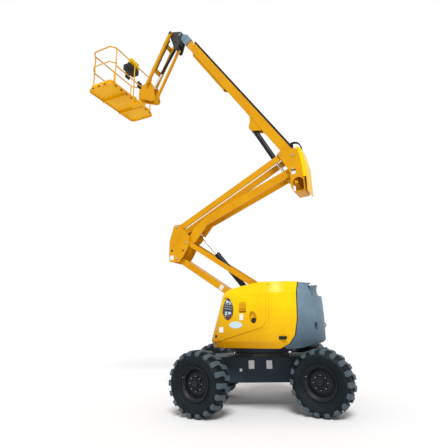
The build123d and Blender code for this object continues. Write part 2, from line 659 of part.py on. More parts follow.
def make_deck():
    """Turret base: slewing drum, deck plate and the two tower plates that carry the arm pins."""
    drum = Pos(0, 0, drum_low) * Cylinder(DRUM_RADIUS, DRUM_HEIGHT + 1, align=bottom)
    drum = drum - Pos(0, 0, drum_low + 20) * Cylinder(DRUM_RADIUS - 30, DRUM_HEIGHT, align=bottom)
    z, front, half, tail, corner = shell_sections[0]
    floor = both_sides(Pos(0, 0, deck_low) * extrude(plan_outline(
        front - DECK_INSET, half - DECK_INSET, DECK_TAIL, 0, corner - DECK_INSET), DECK_THICKNESS))
    x_rear = lower_tie_pin.X - TOWER_REAR
    tower_profile = [(x_rear, deck_top - 5), (LOWER_ARM_PIN.X + 582, deck_top - 5),
                     (LOWER_ARM_PIN.X + 452, LOWER_ARM_PIN.Z - 218), (LOWER_ARM_PIN.X + 112, LOWER_ARM_PIN.Z + 122),
                     (lower_tie_pin.X + 145, lower_tie_pin.Z + 105), (lower_tie_pin.X + 65, lower_tie_pin.Z + 111),
                     (x_rear, lower_tie_pin.Z + 95)]
    tower = plate(tower_profile, TOWER_INNER, TOWER_INNER + TOWER_PLATE, radius=34)
    brace = box_between((x_rear + 10, -TOWER_INNER - 5, deck_top - 5),
                        (x_rear + 30, TOWER_INNER + 5, deck_top + REAR_BRACE))
    brace = brace + box_between((LOWER_ARM_PIN.X + 402, -TOWER_INNER - 5, deck_top - 5),
                                (LOWER_ARM_PIN.X + 422, TOWER_INNER + 5, deck_top + FRONT_BRACE))
    seat = HOOD_INNER - PIN_CLEARANCE
    bulkhead = outer_form & box_between((joint_x, seat - BULKHEAD_PLATE, deck_top - 5), (1200.0, seat, HOOD_TOP + 5))
    bulkhead = bulkhead - box_between((joint_x - 10, 0, 0), (PIN_CLEARANCE - SLAB_FRONT, 400, SLOT_LOW + PIN_CLEARANCE))
    bulkhead = bulkhead - hinge_barrels(1, HINGE_RADIUS + 2 * PIN_CLEARANCE, 4 * PIN_CLEARANCE)
    deck = drum + floor + both_sides(tower + bulkhead) + brace
    half = TOWER_INNER + TOWER_PLATE + PIN_HEAD
    for centre, inner in ((LOWER_ARM_PIN, None), (lower_tie_pin, LOWER_TIE_INNER - 4)):
        deck = deck + headed_pin(centre, half, inner)
    return deck


write("turret_deck", make_deck())

engine = box_between((-ENGINE_SIZE[0] * 0.75, -HOOD_INNER - 60 - ENGINE_SIZE[1], deck_top + PIN_CLEARANCE),
                     (ENGINE_SIZE[0] * 0.25, -HOOD_INNER - 60, deck_top + ENGINE_SIZE[2]))
write("engine_block", chamfer(engine.edges().filter_by(Axis.X), 30))
tank = box_between((-470, HOOD_INNER + 50, deck_top + PIN_CLEARANCE), (180, HOOD_INNER + 430, deck_top + 620))
write("fluid_tanks", fillet(tank.edges().filter_by(Axis.Z), 40))

# ---------------------------------------------------------------- lower arm and its tie
lower_arm = link(LOWER_ARM_PIN, front_low_pin, LOWER_ARM_DEPTH, -LOWER_ARM_WIDTH / 2, LOWER_ARM_WIDTH / 2,
                 eye=LOWER_ARM_DEPTH / 2)
run = along(LOWER_ARM_DEG, 1.0)
hollow_start = LOWER_ARM_PIN + run * 110
hollow_end = front_low_pin - run * 110
hollow_half = LOWER_ARM_WIDTH / 2 - ARM_WALL
lower_arm -= plate([(p.X, p.Z) for p in (
    hollow_start + along(LOWER_ARM_DEG, 0, -LOWER_ARM_DEPTH / 2 + ARM_WALL),
    hollow_end + along(LOWER_ARM_DEG, 0, -LOWER_ARM_DEPTH / 2 + ARM_WALL),
    hollow_end + along(LOWER_ARM_DEG, 0, LOWER_ARM_DEPTH / 2 - ARM_WALL),
    hollow_start + along(LOWER_ARM_DEG, 0, LOWER_ARM_DEPTH / 2 - ARM_WALL))], -hollow_half, hollow_half)
ear_profile = [LOWER_ARM_PIN + along(LOWER_ARM_DEG, *p) for p in (
    (ARM_CYLINDER_BASE[0] - 150, 60), (ARM_CYLINDER_BASE[0] + 170, 60),
    (ARM_CYLINDER_BASE[0] + 40, ARM_CYLINDER_BASE[1] + 42), (ARM_CYLINDER_BASE[0] - 40, ARM_CYLINDER_BASE[1] + 42))]
ear_in = ARM_CYLINDER["half"] + EYE_GAP
ear_out = ear_in + EAR_PLATE
lower_arm = lower_arm + both_sides(plate([(p.X, p.Z) for p in ear_profile], ear_in, ear_out, radius=18))
lower_arm = lower_arm + both_sides(rod(LOWER_ARM_PIN, EYE_RADIUS, LOWER_ARM_WIDTH / 2 - 5, KNUCKLE_HALF)
                                   + rod(front_low_pin, EYE_RADIUS, LOWER_ARM_WIDTH / 2 - 5,
                                         KNUCKLE_HALF - KNUCKLE_PLATE - 4))
lower_arm = lower_arm - hole(LOWER_ARM_PIN, 400) - hole(front_low_pin, 400)
lower_arm = lower_arm + rod(arm_cylinder_base, PIN_RADIUS, -ear_out, ear_out)
write("lower_arm", lower_arm)

lower_tie = link(lower_tie_pin, front_mid_pin, LOWER_TIE_DEPTH, LOWER_TIE_INNER, LOWER_TIE_INNER + LOWER_TIE_PLATE,
                 eye=LOWER_TIE_DEPTH / 2)
lower_tie = both_sides(lower_tie) - hole(lower_tie_pin, 400) - hole(front_mid_pin, 400)
write("lower_tie_rods", lower_tie)

# ---------------------------------------------------------------- front knuckle
knuckle_inner = KNUCKLE_HALF - KNUCKLE_PLATE


def from_pin(pin, points):
    """Points given as offsets from a pin."""
    return [(pin.X + x, pin.Z + z) for x, z in points]


front_plate = plate(from_pin(front_mid_pin, ((-60, -42), (-40, 150), (60, 250), (176, 412), (330, 410),
                                             (440, 60), (445, -240), (430, -392), (200, -410), (90, -300))),
                    knuckle_inner, KNUCKLE_HALF, radius=30)
front_knuckle = both_sides(front_plate)
front_web = plate(from_pin(front_mid_pin, ((425, -380), (441, -380), (437, 60), (421, 60))),
                  -knuckle_inner - 5, knuckle_inner + 5)
front_tube = rod(Vector(front_mid_pin.X + 330, 0, front_mid_pin.Z + 70), 50, -knuckle_inner - 5, knuckle_inner + 5)
front_knuckle = front_knuckle + front_web + front_tube
pin_half = KNUCKLE_HALF + PIN_HEAD
front_knuckle = front_knuckle + headed_pin(front_low_pin, pin_half) + headed_pin(front_mid_pin, pin_half)
front_knuckle = front_knuckle + headed_pin(front_top_pin, pin_half, UPPER_TIE_INNER - 1)
write("front_knuckle", front_knuckle)

# ---------------------------------------------------------------- upper arm and its tie
upper_deg = 180.0 - UPPER_ARM_DEG
half_arm = UPPER_ARM_DEPTH / 2


def on_upper_arm(distance, side):
    """Point on the upper arm: distance from the front pin, side above its pin line."""
    return front_mid_pin + along(upper_deg, distance, -side)


slope = UPPER_ARM_RISE / (UPPER_ARM_LENGTH - UPPER_ARM_BEND)
upper_profile = [on_upper_arm(*p) for p in (
    (-30, -52), (150, -70), (UPPER_ARM_BEND - 40, UPPER_ARM_RISE - half_arm - 8),
    (UPPER_ARM_LENGTH, -half_arm), (UPPER_ARM_LENGTH, half_arm),
    (UPPER_ARM_BEND, UPPER_ARM_RISE + half_arm), (250, 215), (60, 90), (-30, 52))]
upper_beam = plate([(p.X, p.Z) for p in upper_profile], UPPER_ARM_INNER, UPPER_ARM_INNER + UPPER_ARM_PLATE)
upper_beam = upper_beam + rod(rear_arm_pin, half_arm, UPPER_ARM_INNER, UPPER_ARM_INNER + UPPER_ARM_PLATE)
upper_beam = upper_beam + rod(front_mid_pin, EYE_RADIUS, UPPER_ARM_INNER, UPPER_ARM_INNER + UPPER_ARM_PLATE)
upper_arm = both_sides(upper_beam)
cross_along = UPPER_ARM_BEND + CROSS_TUBE_BEYOND
cross_centre = on_upper_arm(cross_along, UPPER_ARM_RISE - CROSS_TUBE_BEYOND * slope - CROSS_TUBE_DROP)
upper_arm = upper_arm + rod(cross_centre, CROSS_TUBE_RADIUS, -UPPER_ARM_INNER - 2, UPPER_ARM_INNER + 2)
upper_arm = upper_arm + rod(rear_arm_pin, 44, -UPPER_ARM_INNER - 2, UPPER_ARM_INNER + 2)
upper_arm = upper_arm + rod(front_mid_pin, 44, -UPPER_ARM_INNER - 2, UPPER_ARM_INNER + 2)
upper_arm = upper_arm + both_sides(rod(arm_cylinder_eye, 46, ear_in, UPPER_ARM_INNER + 2))
upper_arm = upper_arm - hole(front_mid_pin, 400) - hole(rear_arm_pin, 400)
write("upper_arm", upper_arm)

upper_tie = link(front_top_pin, rear_tie_pin, UPPER_TIE_DEPTH, UPPER_TIE_INNER, UPPER_TIE_INNER + UPPER_TIE_PLATE,
                 drop=UPPER_TIE_DROP)
upper_tie = both_sides(upper_tie) - hole(front_top_pin, 400) - hole(rear_tie_pin, 400)
write("upper_tie_rods", upper_tie)

# ---------------------------------------------------------------- rear knuckle
rear_plate = plate(from_pin(rear_arm_pin, ((310, 375), (225, 430), (-60, 430), (-130, 380), (-200, 60),
                                           (-215, -473), (0, -484), (60, -363), (58, -60), (200, 200))),
                   knuckle_inner, KNUCKLE_HALF, radius=30)
arch = rod(rear_arm_pin + ARCH_CENTRE, ARCH_RADIUS, 0, KNUCKLE_HALF + 5)
arch = arch + box_between((rear_arm_pin.X + ARCH_CENTRE.X - ARCH_RADIUS, 0, rear_arm_pin.Z - 464),
                          (rear_arm_pin.X + ARCH_CENTRE.X + ARCH_RADIUS, KNUCKLE_HALF + 5,
                           rear_arm_pin.Z + ARCH_CENTRE.Z))
rear_knuckle = rear_plate - arch + mirror(rear_plate, about=Plane.XZ)
rear_web = box_between((rear_arm_pin.X - 215, -knuckle_inner - 5, rear_arm_pin.Z - 470),
                       (rear_arm_pin.X - 200, knuckle_inner + 5, rear_arm_pin.Z - 150))
rear_floor = box_between((rear_arm_pin.X - 210, -knuckle_inner - 5, rear_arm_pin.Z - 478),
                         (rear_arm_pin.X + 0, knuckle_inner + 5, rear_arm_pin.Z - 462))
rear_knuckle = rear_knuckle + rear_web + rear_floor
rear_knuckle = rear_knuckle + headed_pin(rear_arm_pin, pin_half) + headed_pin(boom_pin, pin_half)
rear_knuckle = rear_knuckle + headed_pin(rear_tie_pin, pin_half, UPPER_TIE_INNER - 1)
eye_x, eye_z = BOOM_CYLINDER_EYE.X, BOOM_CYLINDER_EYE.Z
ear = plate(from_pin(rear_arm_pin, ((eye_x - 40, eye_z + 42), (eye_x + 42, eye_z + 42), (eye_x + 46, eye_z - 30),
                                    (eye_x - 40, eye_z - 90), (-30, -312), (-84, -290), (-84, -240))),
            ear_in, ear_out, radius=16)
ear_beam = plate(from_pin(rear_arm_pin, ((-80, -304), (-26, -304), (-26, -250), (-80, -250))),
                 -knuckle_inner - 5, knuckle_inner + 5)
rear_knuckle = rear_knuckle + both_sides(ear + rod(boom_cylinder_eye, PIN_RADIUS + 8, ear_in, ear_out + 5)) + ear_beam
write("rear_knuckle", rear_knuckle)

cover_outer = [(-128, 440), (-185, 400), (-262, 60), (-275, -500), (-262, -500), (-249, 60), (-176, 392), (-128, 428)]
cover = plate(from_pin(rear_arm_pin, cover_outer), -KNUCKLE_HALF - 8, KNUCKLE_HALF + 8)
cover_cheek = plate(from_pin(rear_arm_pin, ((-128, 440), (-185, 400), (-262, 60), (-268, -200),
                                            (-195, -200), (-180, 60), (-115, 385), (-85, 440))),
                    KNUCKLE_HALF + PIN_CLEARANCE, KNUCKLE_HALF + 8)
write("rear_knuckle_cover", cover + both_sides(cover_cheek))

# ---------------------------------------------------------------- cylinders of the arms and boom
arm_barrel, arm_rod = cylinder_pair(arm_cylinder_base, arm_cylinder_eye, ARM_CYLINDER)
write("arm_cylinder_barrel", arm_barrel)
write("arm_cylinder_rod", arm_rod)
boom_barrel, boom_rod = cylinder_pair(boom_cylinder_base, boom_cylinder_eye, BOOM_CYLINDER)
write("boom_cylinder_barrel", boom_barrel)
write("boom_cylinder_rod", boom_rod)

# ---------------------------------------------------------------- boom
def on_boom(distance, side):
    """Point on the boom: distance from its pin and height above its pin line."""
    return boom_pin + along(BOOM_DEG, distance, side)


def boom_box(start, end, low, high, half):
    """Box along the boom."""
    corners = [on_boom(*p) for p in ((start, low), (end, low), (end, high), (start, high))]
    return plate([(c.X, c.Z) for c in corners], -half, half)


boom_low = BOOM_CENTRE - BOOM_DEPTH / 2
boom_high = BOOM_CENTRE + BOOM_DEPTH / 2
boom_half = BOOM_WIDTH / 2
boom = boom_box(0, BOOM_END, boom_low, boom_high, boom_half)
channel = [on_boom(*p) for p in ((CHANNEL_START, boom_low + 2), (CHANNEL_START + 90, boom_low - CHANNEL_DEPTH),
                                 (CHANNEL_END - 90, boom_low - CHANNEL_DEPTH), (CHANNEL_END, boom_low + 2))]
boom = boom + plate([(p.X, p.Z) for p in channel], -CHANNEL_HALF, CHANNEL_HALF) - boom_box(
    CHANNEL_START - 20, CHANNEL_END + 20, boom_low - CHANNEL_DEPTH + 6, boom_low, CHANNEL_HALF - 6)
boom = boom - boom_box(BOOM_START + 60, BOOM_END + 10, boom_low + BOOM_WALL, boom_high - BOOM_WALL,
                       boom_half - BOOM_WALL)
boom = boom + rod(on_boom(0, BOOM_CENTRE), BOOM_DEPTH / 2, -boom_half, boom_half)
boom = boom + both_sides(rod(boom_pin, EYE_RADIUS, boom_half - 5, knuckle_inner - 4)) - hole(boom_pin, 400)
ear = [on_boom(*p) for p in ((BRACKET_PIN_ALONG - 230, boom_low + 5), (BRACKET_PIN_ALONG - 80, BRACKET_PIN_BELOW - 30),
                             (BRACKET_PIN_ALONG - 20, BRACKET_PIN_BELOW - 70),
                             (BRACKET_PIN_ALONG + 60, BRACKET_PIN_BELOW - 60),
                             (BRACKET_PIN_ALONG + 150, boom_low - 70), (BRACKET_PIN_ALONG + 280, boom_low + 5))]
boom = boom + both_sides(plate([(p.X, p.Z) for p in ear], ear_in, ear_out, radius=20))
boom = boom + rod(boom_cylinder_base, PIN_RADIUS, -boom_half, boom_half)
inner_low = boom_low + BOOM_WALL + INNER_GAP
inner_high = boom_high - BOOM_WALL - INNER_GAP
inner_half = boom_half - BOOM_WALL - INNER_GAP
pads = boom_box(BOOM_END - WEAR_PAD, BOOM_END - 6, boom_low + BOOM_WALL - 1, boom_high - BOOM_WALL + 1,
                boom_half - BOOM_WALL + 1)
pads = pads - boom_box(BOOM_END - WEAR_PAD - 5, BOOM_END + 5, inner_low - PIN_CLEARANCE, inner_high + PIN_CLEARANCE,
                       inner_half + PIN_CLEARANCE)
write("boom_outer", boom + pads)

inner = boom_box(INNER_START, INNER_END, inner_low, inner_high, inner_half)
inner = inner - boom_box(INNER_START - 10, INNER_END - 30, inner_low + BOOM_WALL, inner_high - BOOM_WALL,
                         inner_half - BOOM_WALL)
write("boom_inner", inner)

head_half = BRACKET_HALF - BRACKET_PLATE - 4
head = boom_box(BOOM_END + 40, INNER_END + 10, boom_low - 6, boom_high + 6, boom_half + 4)
head = head - boom_box(BOOM_END + 30, INNER_END + PIN_CLEARANCE, inner_low - PIN_CLEARANCE,
                       inner_high + PIN_CLEARANCE, inner_half + PIN_CLEARANCE)
fork = [on_boom(*p) for p in ((INNER_END - 60, boom_low), (HEAD_PIN_ALONG, HEAD_PIN_BELOW - 62),
                              (HEAD_PIN_ALONG + 62, HEAD_PIN_BELOW), (HEAD_PIN_ALONG, HEAD_PIN_BELOW + 62),
                              (INNER_END - 60, boom_high))]
head = head + both_sides(plate([(p.X, p.Z) for p in fork], boom_half - 14, head_half, radius=20))
head = head + headed_pin(head_pin, BRACKET_HALF + PIN_HEAD)
write("boom_head", head)

chain_low = boom_high + PIN_CLEARANCE
chain_high = chain_low + CHAIN_HEIGHT
link_count = int((BOOM_END - 30 - CHAIN_START) / CHAIN_PITCH)
teeth = [(CHAIN_START, chain_low)]
for index in range(link_count):
    at = CHAIN_START + index * CHAIN_PITCH
    teeth = teeth + [(at, chain_high - 14), (at + 6, chain_high), (at + CHAIN_PITCH - 16, chain_high),
                     (at + CHAIN_PITCH - 10, chain_high - 14)]
teeth = teeth + [(CHAIN_START + link_count * CHAIN_PITCH - 10, chain_low)]
chain = plate([(p.X, p.Z) for p in (on_boom(*t) for t in teeth)], -CHAIN_WIDTH / 2, CHAIN_WIDTH / 2)
write("cable_chain", chain)

# ---------------------------------------------------------------- levelled bracket, jib, its bar and cylinder
bracket_profile = [(p.X, p.Z) for p in (
    head_pin + Vector(-70, 0, 30), head_pin + Vector(-20, 0, 78), jib_pin + Vector(-20, 0, 60),
    jib_pin + Vector(52, 0, 30), jib_pin + Vector(40, 0, -60), jib_bar_pin + Vector(58, 0, 20),
    jib_bar_pin + Vector(30, 0, -50), jib_bar_pin + Vector(-40, 0, -40), head_pin + Vector(-30, 0, -120))]
bracket_inner = BRACKET_HALF - BRACKET_PLATE
bracket = both_sides(plate(bracket_profile, bracket_inner, BRACKET_HALF, radius=20))
bracket = bracket - hole(head_pin, 400)
bracket = bracket + headed_pin(jib_pin, JIB_INNER + JIB_PLATE + PIN_HEAD, bracket_inner - 20)
bracket = bracket + rod(jib_bar_pin, PIN_RADIUS, -BRACKET_HALF - 6, BRACKET_HALF + 6)
bracket = bracket + rod(jib_cylinder_base, PIN_RADIUS, -BRACKET_HALF - 6, BRACKET_HALF + 6)
tie_plate = jib_pin + Vector(-10, 0, 34)
bracket = bracket + rod(tie_plate, 16, -bracket_inner - 2, bracket_inner + 2)
write("jib_bracket", bracket)

jib_bar_one = link(jib_pin, foot_pin, JIB_DEPTH, JIB_INNER, JIB_INNER + JIB_PLATE, eye=46)
jib = both_sides(jib_bar_one)
for distance in (300.0, 1000.0):
    corners = [jib_pin + along(JIB_DEG, distance + a, b) for a, b in (
        (-60, JIB_DEPTH / 2 - 1), (60, JIB_DEPTH / 2 - 1), (60, JIB_DEPTH / 2 + 9), (-60, JIB_DEPTH / 2 + 9))]
    jib = jib + plate([(c.X, c.Z) for c in corners], -JIB_INNER - JIB_PLATE, JIB_INNER + JIB_PLATE)
jib = jib - hole(jib_pin, 400) - hole(foot_pin, 400)
write("jib_arm", jib)

jib_rod_bar = link(jib_bar_pin, foot_bar_pin, JIB_BAR_DEPTH, -JIB_BAR_WIDTH / 2, JIB_BAR_WIDTH / 2, eye=40)
jib_rod_bar = jib_rod_bar - hole(jib_bar_pin, 400) - hole(foot_bar_pin, 400)
write("jib_levelling_rod", jib_rod_bar)

jib_barrel, jib_cylinder_rod = cylinder_pair(jib_cylinder_base, jib_cylinder_eye, JIB_CYLINDER)
write("jib_cylinder_barrel", jib_barrel)
write("jib_cylinder_rod", jib_cylinder_rod)

# ---------------------------------------------------------------- jib foot with the rotator
rotator = Vector(foot_pin.X + ROTATOR_FROM_PIN, 0, foot_pin.Z)
foot_profile = [(p.X, p.Z) for p in (
    foot_pin + Vector(-126, 0, -70), foot_pin + Vector(-56, 0, 20), foot_pin + Vector(-20, 0, 56), foot_pin + Vector(120, 0, 40),
    rotator + Vector(-60, 0, -60), rotator + Vector(-60, 0, -380), foot_bar_pin + Vector(60, 0, -50),
    foot_bar_pin + Vector(-30, 0, -45), foot_bar_pin + Vector(-50, 0, 10))]
foot = both_sides(plate(foot_profile, bracket_inner, BRACKET_HALF, radius=14))
foot = foot + box_between((rotator.X - 90, -BRACKET_HALF, rotator.Z - ROTATOR_LOW), (rotator.X - 50, BRACKET_HALF, rotator.Z - 60))
foot = foot + Pos(rotator.X, 0, rotator.Z - ROTATOR_LOW) * Cylinder(ROTATOR_RADIUS, 320, align=bottom)
foot = foot + headed_pin(foot_pin, JIB_INNER + JIB_PLATE + PIN_HEAD, bracket_inner - 2)
foot = foot + rod(foot_bar_pin, PIN_RADIUS, -BRACKET_HALF - 6, BRACKET_HALF + 6)
foot = foot + both_sides(rod(jib_cylinder_eye, PIN_RADIUS, JIB_CYLINDER["half"] + EYE_GAP, BRACKET_HALF + 6))
write("platform_support", foot)

# ---------------------------------------------------------------- basket
basket_x = foot_pin.X + BASKET_CENTRE
floor_low = foot_pin.Z + BASKET_FLOOR
basket_place = Pos(basket_x, 0, floor_low)
half_depth = BASKET_DEPTH / 2
half_span = BASKET_LENGTH / 2
floor_plan = RectangleRounded(BASKET_DEPTH, BASKET_LENGTH, BASKET_CORNER)
tray_plan = RectangleRounded(BASKET_DEPTH - 2 * TRAY_WALL, BASKET_LENGTH - 2 * TRAY_WALL, BASKET_CORNER - TRAY_WALL)
floor = extrude(floor_plan, FLOOR_THICKNESS) - Pos(0, 0, -1) * extrude(tray_plan, FLOOR_THICKNESS - TRAY_WALL + 1)
toe_out = RAIL_INSET + RAIL_RADIUS + 2
toe_plan = RectangleRounded(BASKET_DEPTH - 2 * toe_out, BASKET_LENGTH - 2 * toe_out, BASKET_CORNER - toe_out)
toe_in = toe_out + TRAY_WALL
toe_hole = RectangleRounded(BASKET_DEPTH - 2 * toe_in, BASKET_LENGTH - 2 * toe_in, BASKET_CORNER - toe_in)
toe = Pos(0, 0, FLOOR_THICKNESS - 1) * extrude(toe_plan - toe_hole, TOE_HEIGHT)
for y_rib in (-RIB_FROM_MIDDLE, RIB_FROM_MIDDLE):
    floor = floor + box_between((-half_depth + 2, y_rib - RIB_WIDTH / 2, -RIB_BELOW),
                                (half_depth - 2, y_rib + RIB_WIDTH / 2, FLOOR_THICKNESS - 2))
turn_x = ROTATOR_FROM_PIN - BASKET_CENTRE
turn_low = -BASKET_FLOOR - ROTATOR_LOW - 60
carrier = box_between((turn_x, -70, turn_low), (-half_depth + 60, 70, turn_low + 40))
carrier = carrier + Pos(turn_x, 0, turn_low) * Cylinder(ROTATOR_RADIUS + 15, 60 - PIN_CLEARANCE, align=bottom)
carrier = carrier + box_between((-half_depth - 40, -70, turn_low), (-half_depth - 2, 70, FLOOR_THICKNESS + 60))
carrier = carrier + box_between((-half_depth - 10, -70, 0), (-half_depth + 2, 70, FLOOR_THICKNESS + 60))
write("basket_floor", basket_place * (floor + toe + carrier))


def level_tube(plan, z, radius=RAIL_RADIUS, closed=False):
    """Round tube with mitred corners, through plan points at one height."""
    points = [Vector(x, y, z) for x, y in plan]
    start = Plane(origin=points[0], z_dir=points[1] - points[0])
    return sweep(start * Circle(radius), path=Polyline(*points, close=closed), transition=Transition.RIGHT)


rail_x = half_depth - RAIL_INSET
rail_y = half_span - RAIL_INSET
top = RAIL_HEIGHT
middle = RAIL_HEIGHT * 0.55
bend = RAIL_BEND
post_y = rail_y - bend - POST_SETBACK
loop = [(rail_x, post_y), (rail_x, bend - rail_y), (rail_x - bend, -rail_y), (bend - rail_x, -rail_y),
        (-rail_x, bend - rail_y), (-rail_x, post_y)]
entry = [(-rail_x, post_y), (-rail_x, rail_y - bend), (bend - rail_x, rail_y), (rail_x - bend, rail_y),
         (rail_x, rail_y - bend), (rail_x, post_y)]
rails = level_tube(loop + entry[1:-1], top, closed=True) + level_tube(loop, middle)
post_low = FLOOR_THICKNESS + PIN_CLEARANCE
for x_post in (-rail_x, rail_x):
    for y_post in (post_y, 0.0, -post_y):
        rails = rails + Pos(x_post, y_post, post_low) * Cylinder(POST_RADIUS, top - post_low, align=bottom)
write("basket_rails", basket_place * rails)

bar_z = middle + RAIL_RADIUS + SLEEVE_HEIGHT
bar = level_tube(entry, bar_z, ENTRY_BAR_RADIUS)
for x_post in (-rail_x, rail_x):
    bar = bar + Pos(x_post, post_y, bar_z) * Cylinder(SLEEVE_RADIUS, SLEEVE_HEIGHT)
    bar = bar - Pos(x_post, post_y, bar_z) * Cylinder(POST_RADIUS + PIN_CLEARANCE, SLEEVE_HEIGHT + 20)
write("basket_entry_bar", basket_place * bar)
console = box_between((-rail_x + POST_RADIUS + PIN_CLEARANCE, -CONSOLE_HALF, top - 210),
                      (-rail_x + 230, CONSOLE_HALF, top - 40))
write("basket_console", basket_place * fillet(console.edges().filter_by(Axis.Y), 24))
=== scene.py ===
import json
import math

import bmesh
import bpy
from mathutils import Matrix, Vector
from mathutils.bvhtree import BVHTree


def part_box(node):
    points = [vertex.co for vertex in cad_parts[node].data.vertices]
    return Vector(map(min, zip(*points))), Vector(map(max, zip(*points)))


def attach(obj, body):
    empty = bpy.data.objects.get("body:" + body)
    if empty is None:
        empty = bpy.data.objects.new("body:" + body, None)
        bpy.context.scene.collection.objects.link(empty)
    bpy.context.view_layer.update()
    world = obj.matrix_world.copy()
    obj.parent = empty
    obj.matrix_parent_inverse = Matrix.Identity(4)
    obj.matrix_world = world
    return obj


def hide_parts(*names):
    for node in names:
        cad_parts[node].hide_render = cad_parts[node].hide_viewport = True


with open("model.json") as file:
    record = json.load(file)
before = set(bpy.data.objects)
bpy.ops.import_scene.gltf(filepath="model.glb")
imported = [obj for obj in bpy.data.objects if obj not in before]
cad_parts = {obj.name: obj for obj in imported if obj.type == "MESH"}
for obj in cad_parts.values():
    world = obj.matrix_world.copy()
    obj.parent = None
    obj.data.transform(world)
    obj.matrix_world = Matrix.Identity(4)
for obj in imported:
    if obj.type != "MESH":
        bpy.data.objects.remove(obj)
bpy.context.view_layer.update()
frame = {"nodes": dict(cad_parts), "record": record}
print("model loaded")

# the three frames that pieces are placed in: turret and arms, steered wheels, chassis
slewTurn = Matrix.Rotation(math.radians(-23.0), 4, "Z")
steerTurn = Matrix.Rotation(math.radians(-27.0), 4, "Z")
stillTurn = Matrix.Identity(4)


# ---- finishes

def newMaterial(name, colour, roughness, metallic=0.0, specular=0.5, coat=0.0):
    mat = bpy.data.materials.new(name)
    mat.use_nodes = True
    shader = mat.node_tree.nodes["Principled BSDF"]
    shader.inputs["Base Color"].default_value = (*colour, 1.0)
    shader.inputs["Roughness"].default_value = roughness
    shader.inputs["Metallic"].default_value = metallic
    shader.inputs["Specular IOR Level"].default_value = specular
    shader.inputs["Coat Weight"].default_value = coat
    shader.inputs["Coat Roughness"].default_value = 0.12
    return mat, shader


def add(mat, kind, operation=None, **values):
    node = mat.node_tree.nodes.new(kind)
    if operation:
        node.operation = operation
    for key, value in values.items():
        # i1 means the input with that number, and any other key is an input's name
        socket = int(key[1:]) if key[0] == "i" and key[1:].isdigit() else key.replace("_", " ")
        node.inputs[socket].default_value = value
    return node


def wire(mat, source, target):
    mat.node_tree.links.new(source, target)
    return target.node


def noise(mat, coords, scale, detail=3.0):
    node = add(mat, "ShaderNodeTexNoise", Scale=scale, Detail=detail, Roughness=0.6)
    wire(mat, coords.outputs["Object"], node.inputs["Vector"])
    return node.outputs["Fac"]


def remap(mat, source, low, high, toLow=0.0, toHigh=1.0):
    node = add(mat, "ShaderNodeMapRange", From_Min=low, From_Max=high, To_Min=toLow, To_Max=toHigh)
    wire(mat, source, node.inputs["Value"])
    return node.outputs["Result"]


def blendColour(mat, factor, first, second):
    node = mat.node_tree.nodes.new("ShaderNodeMix")
    node.data_type = "RGBA"
    wire(mat, factor, node.inputs[0])
    for socket, value in ((node.inputs[6], first), (node.inputs[7], second)):
        if isinstance(value, tuple):
            socket.default_value = (*value, 1.0)
        else:
            wire(mat, value, socket)
    return node.outputs[2]


def edgeMask(mat, radius, low, high):
    # how far the rounded normal leaves the true one, which is strongest along edges
    bevel = add(mat, "ShaderNodeBevel", Radius=radius)
    bevel.samples = 4
    geometry = mat.node_tree.nodes.new("ShaderNodeNewGeometry")
    dot = add(mat, "ShaderNodeVectorMath", "DOT_PRODUCT")
    wire(mat, bevel.outputs["Normal"], dot.inputs[0])
    wire(mat, geometry.outputs["True Normal"], dot.inputs[1])
    return bevel.outputs["Normal"], remap(mat, dot.outputs["Value"], high, low)


def paint(name, s):
    # s: colour, shade, dirt, worn, roughness, and where wanted coat, dust, wear, edge, peel, and for
    # painted shade, a darker colour low down: paintedShade, filmAndShade, shadeAlong and shadeEnds
    mat, shader = newMaterial(name, s["colour"], s["roughness"], specular=0.15, coat=s.get("coat", 0.0))
    coords = mat.node_tree.nodes.new("ShaderNodeTexCoord")
    tone = remap(mat, noise(mat, coords, 1.7), 0.35, 0.75)
    colour = blendColour(mat, tone, s["colour"], s["shade"])
    if "paintedShade" in s:
        # painted shade: a darker colour low down, measured along the given direction in metres
        place = add(mat, "ShaderNodeVectorMath", "DOT_PRODUCT", i1=s["shadeAlong"])
        wire(mat, coords.outputs["Object"], place.inputs[0])
        filmAndShade = remap(mat, place.outputs["Value"], s["shadeEnds"][0], s["shadeEnds"][1], 0.0, s["filmAndShade"])
        colour = blendColour(mat, filmAndShade, colour, s["paintedShade"])
    speck = remap(mat, noise(mat, coords, 38.0, 6.0), 0.60, 0.74, 0.0, s.get("dust", 0.12))
    colour = blendColour(mat, speck, colour, s["dirt"])
    rounded, edge = edgeMask(mat, s.get("edge", 0.004), 0.80, 0.995)
    patch = remap(mat, noise(mat, coords, 60.0, 4.0), 0.50, 0.66, 0.0, s.get("wear", 0.5))
    worn = add(mat, "ShaderNodeMath", "MULTIPLY")
    wire(mat, edge, worn.inputs[0])
    wire(mat, patch, worn.inputs[1])
    colour = blendColour(mat, worn.outputs[0], colour, s["worn"])
    wire(mat, colour, shader.inputs["Base Color"])
    gloss = remap(mat, noise(mat, coords, 9.0, 4.0), 0.3, 0.7, s["roughness"] - 0.07, s["roughness"] + 0.09)
    wire(mat, gloss, shader.inputs["Roughness"])
    bump = add(mat, "ShaderNodeBump", Strength=s.get("peel", 0.08), Distance=0.0006)
    wire(mat, noise(mat, coords, 260.0, 2.0), bump.inputs["Height"])
    wire(mat, rounded, bump.inputs["Normal"])
    wire(mat, bump.outputs["Normal"], shader.inputs["Normal"])
    return mat


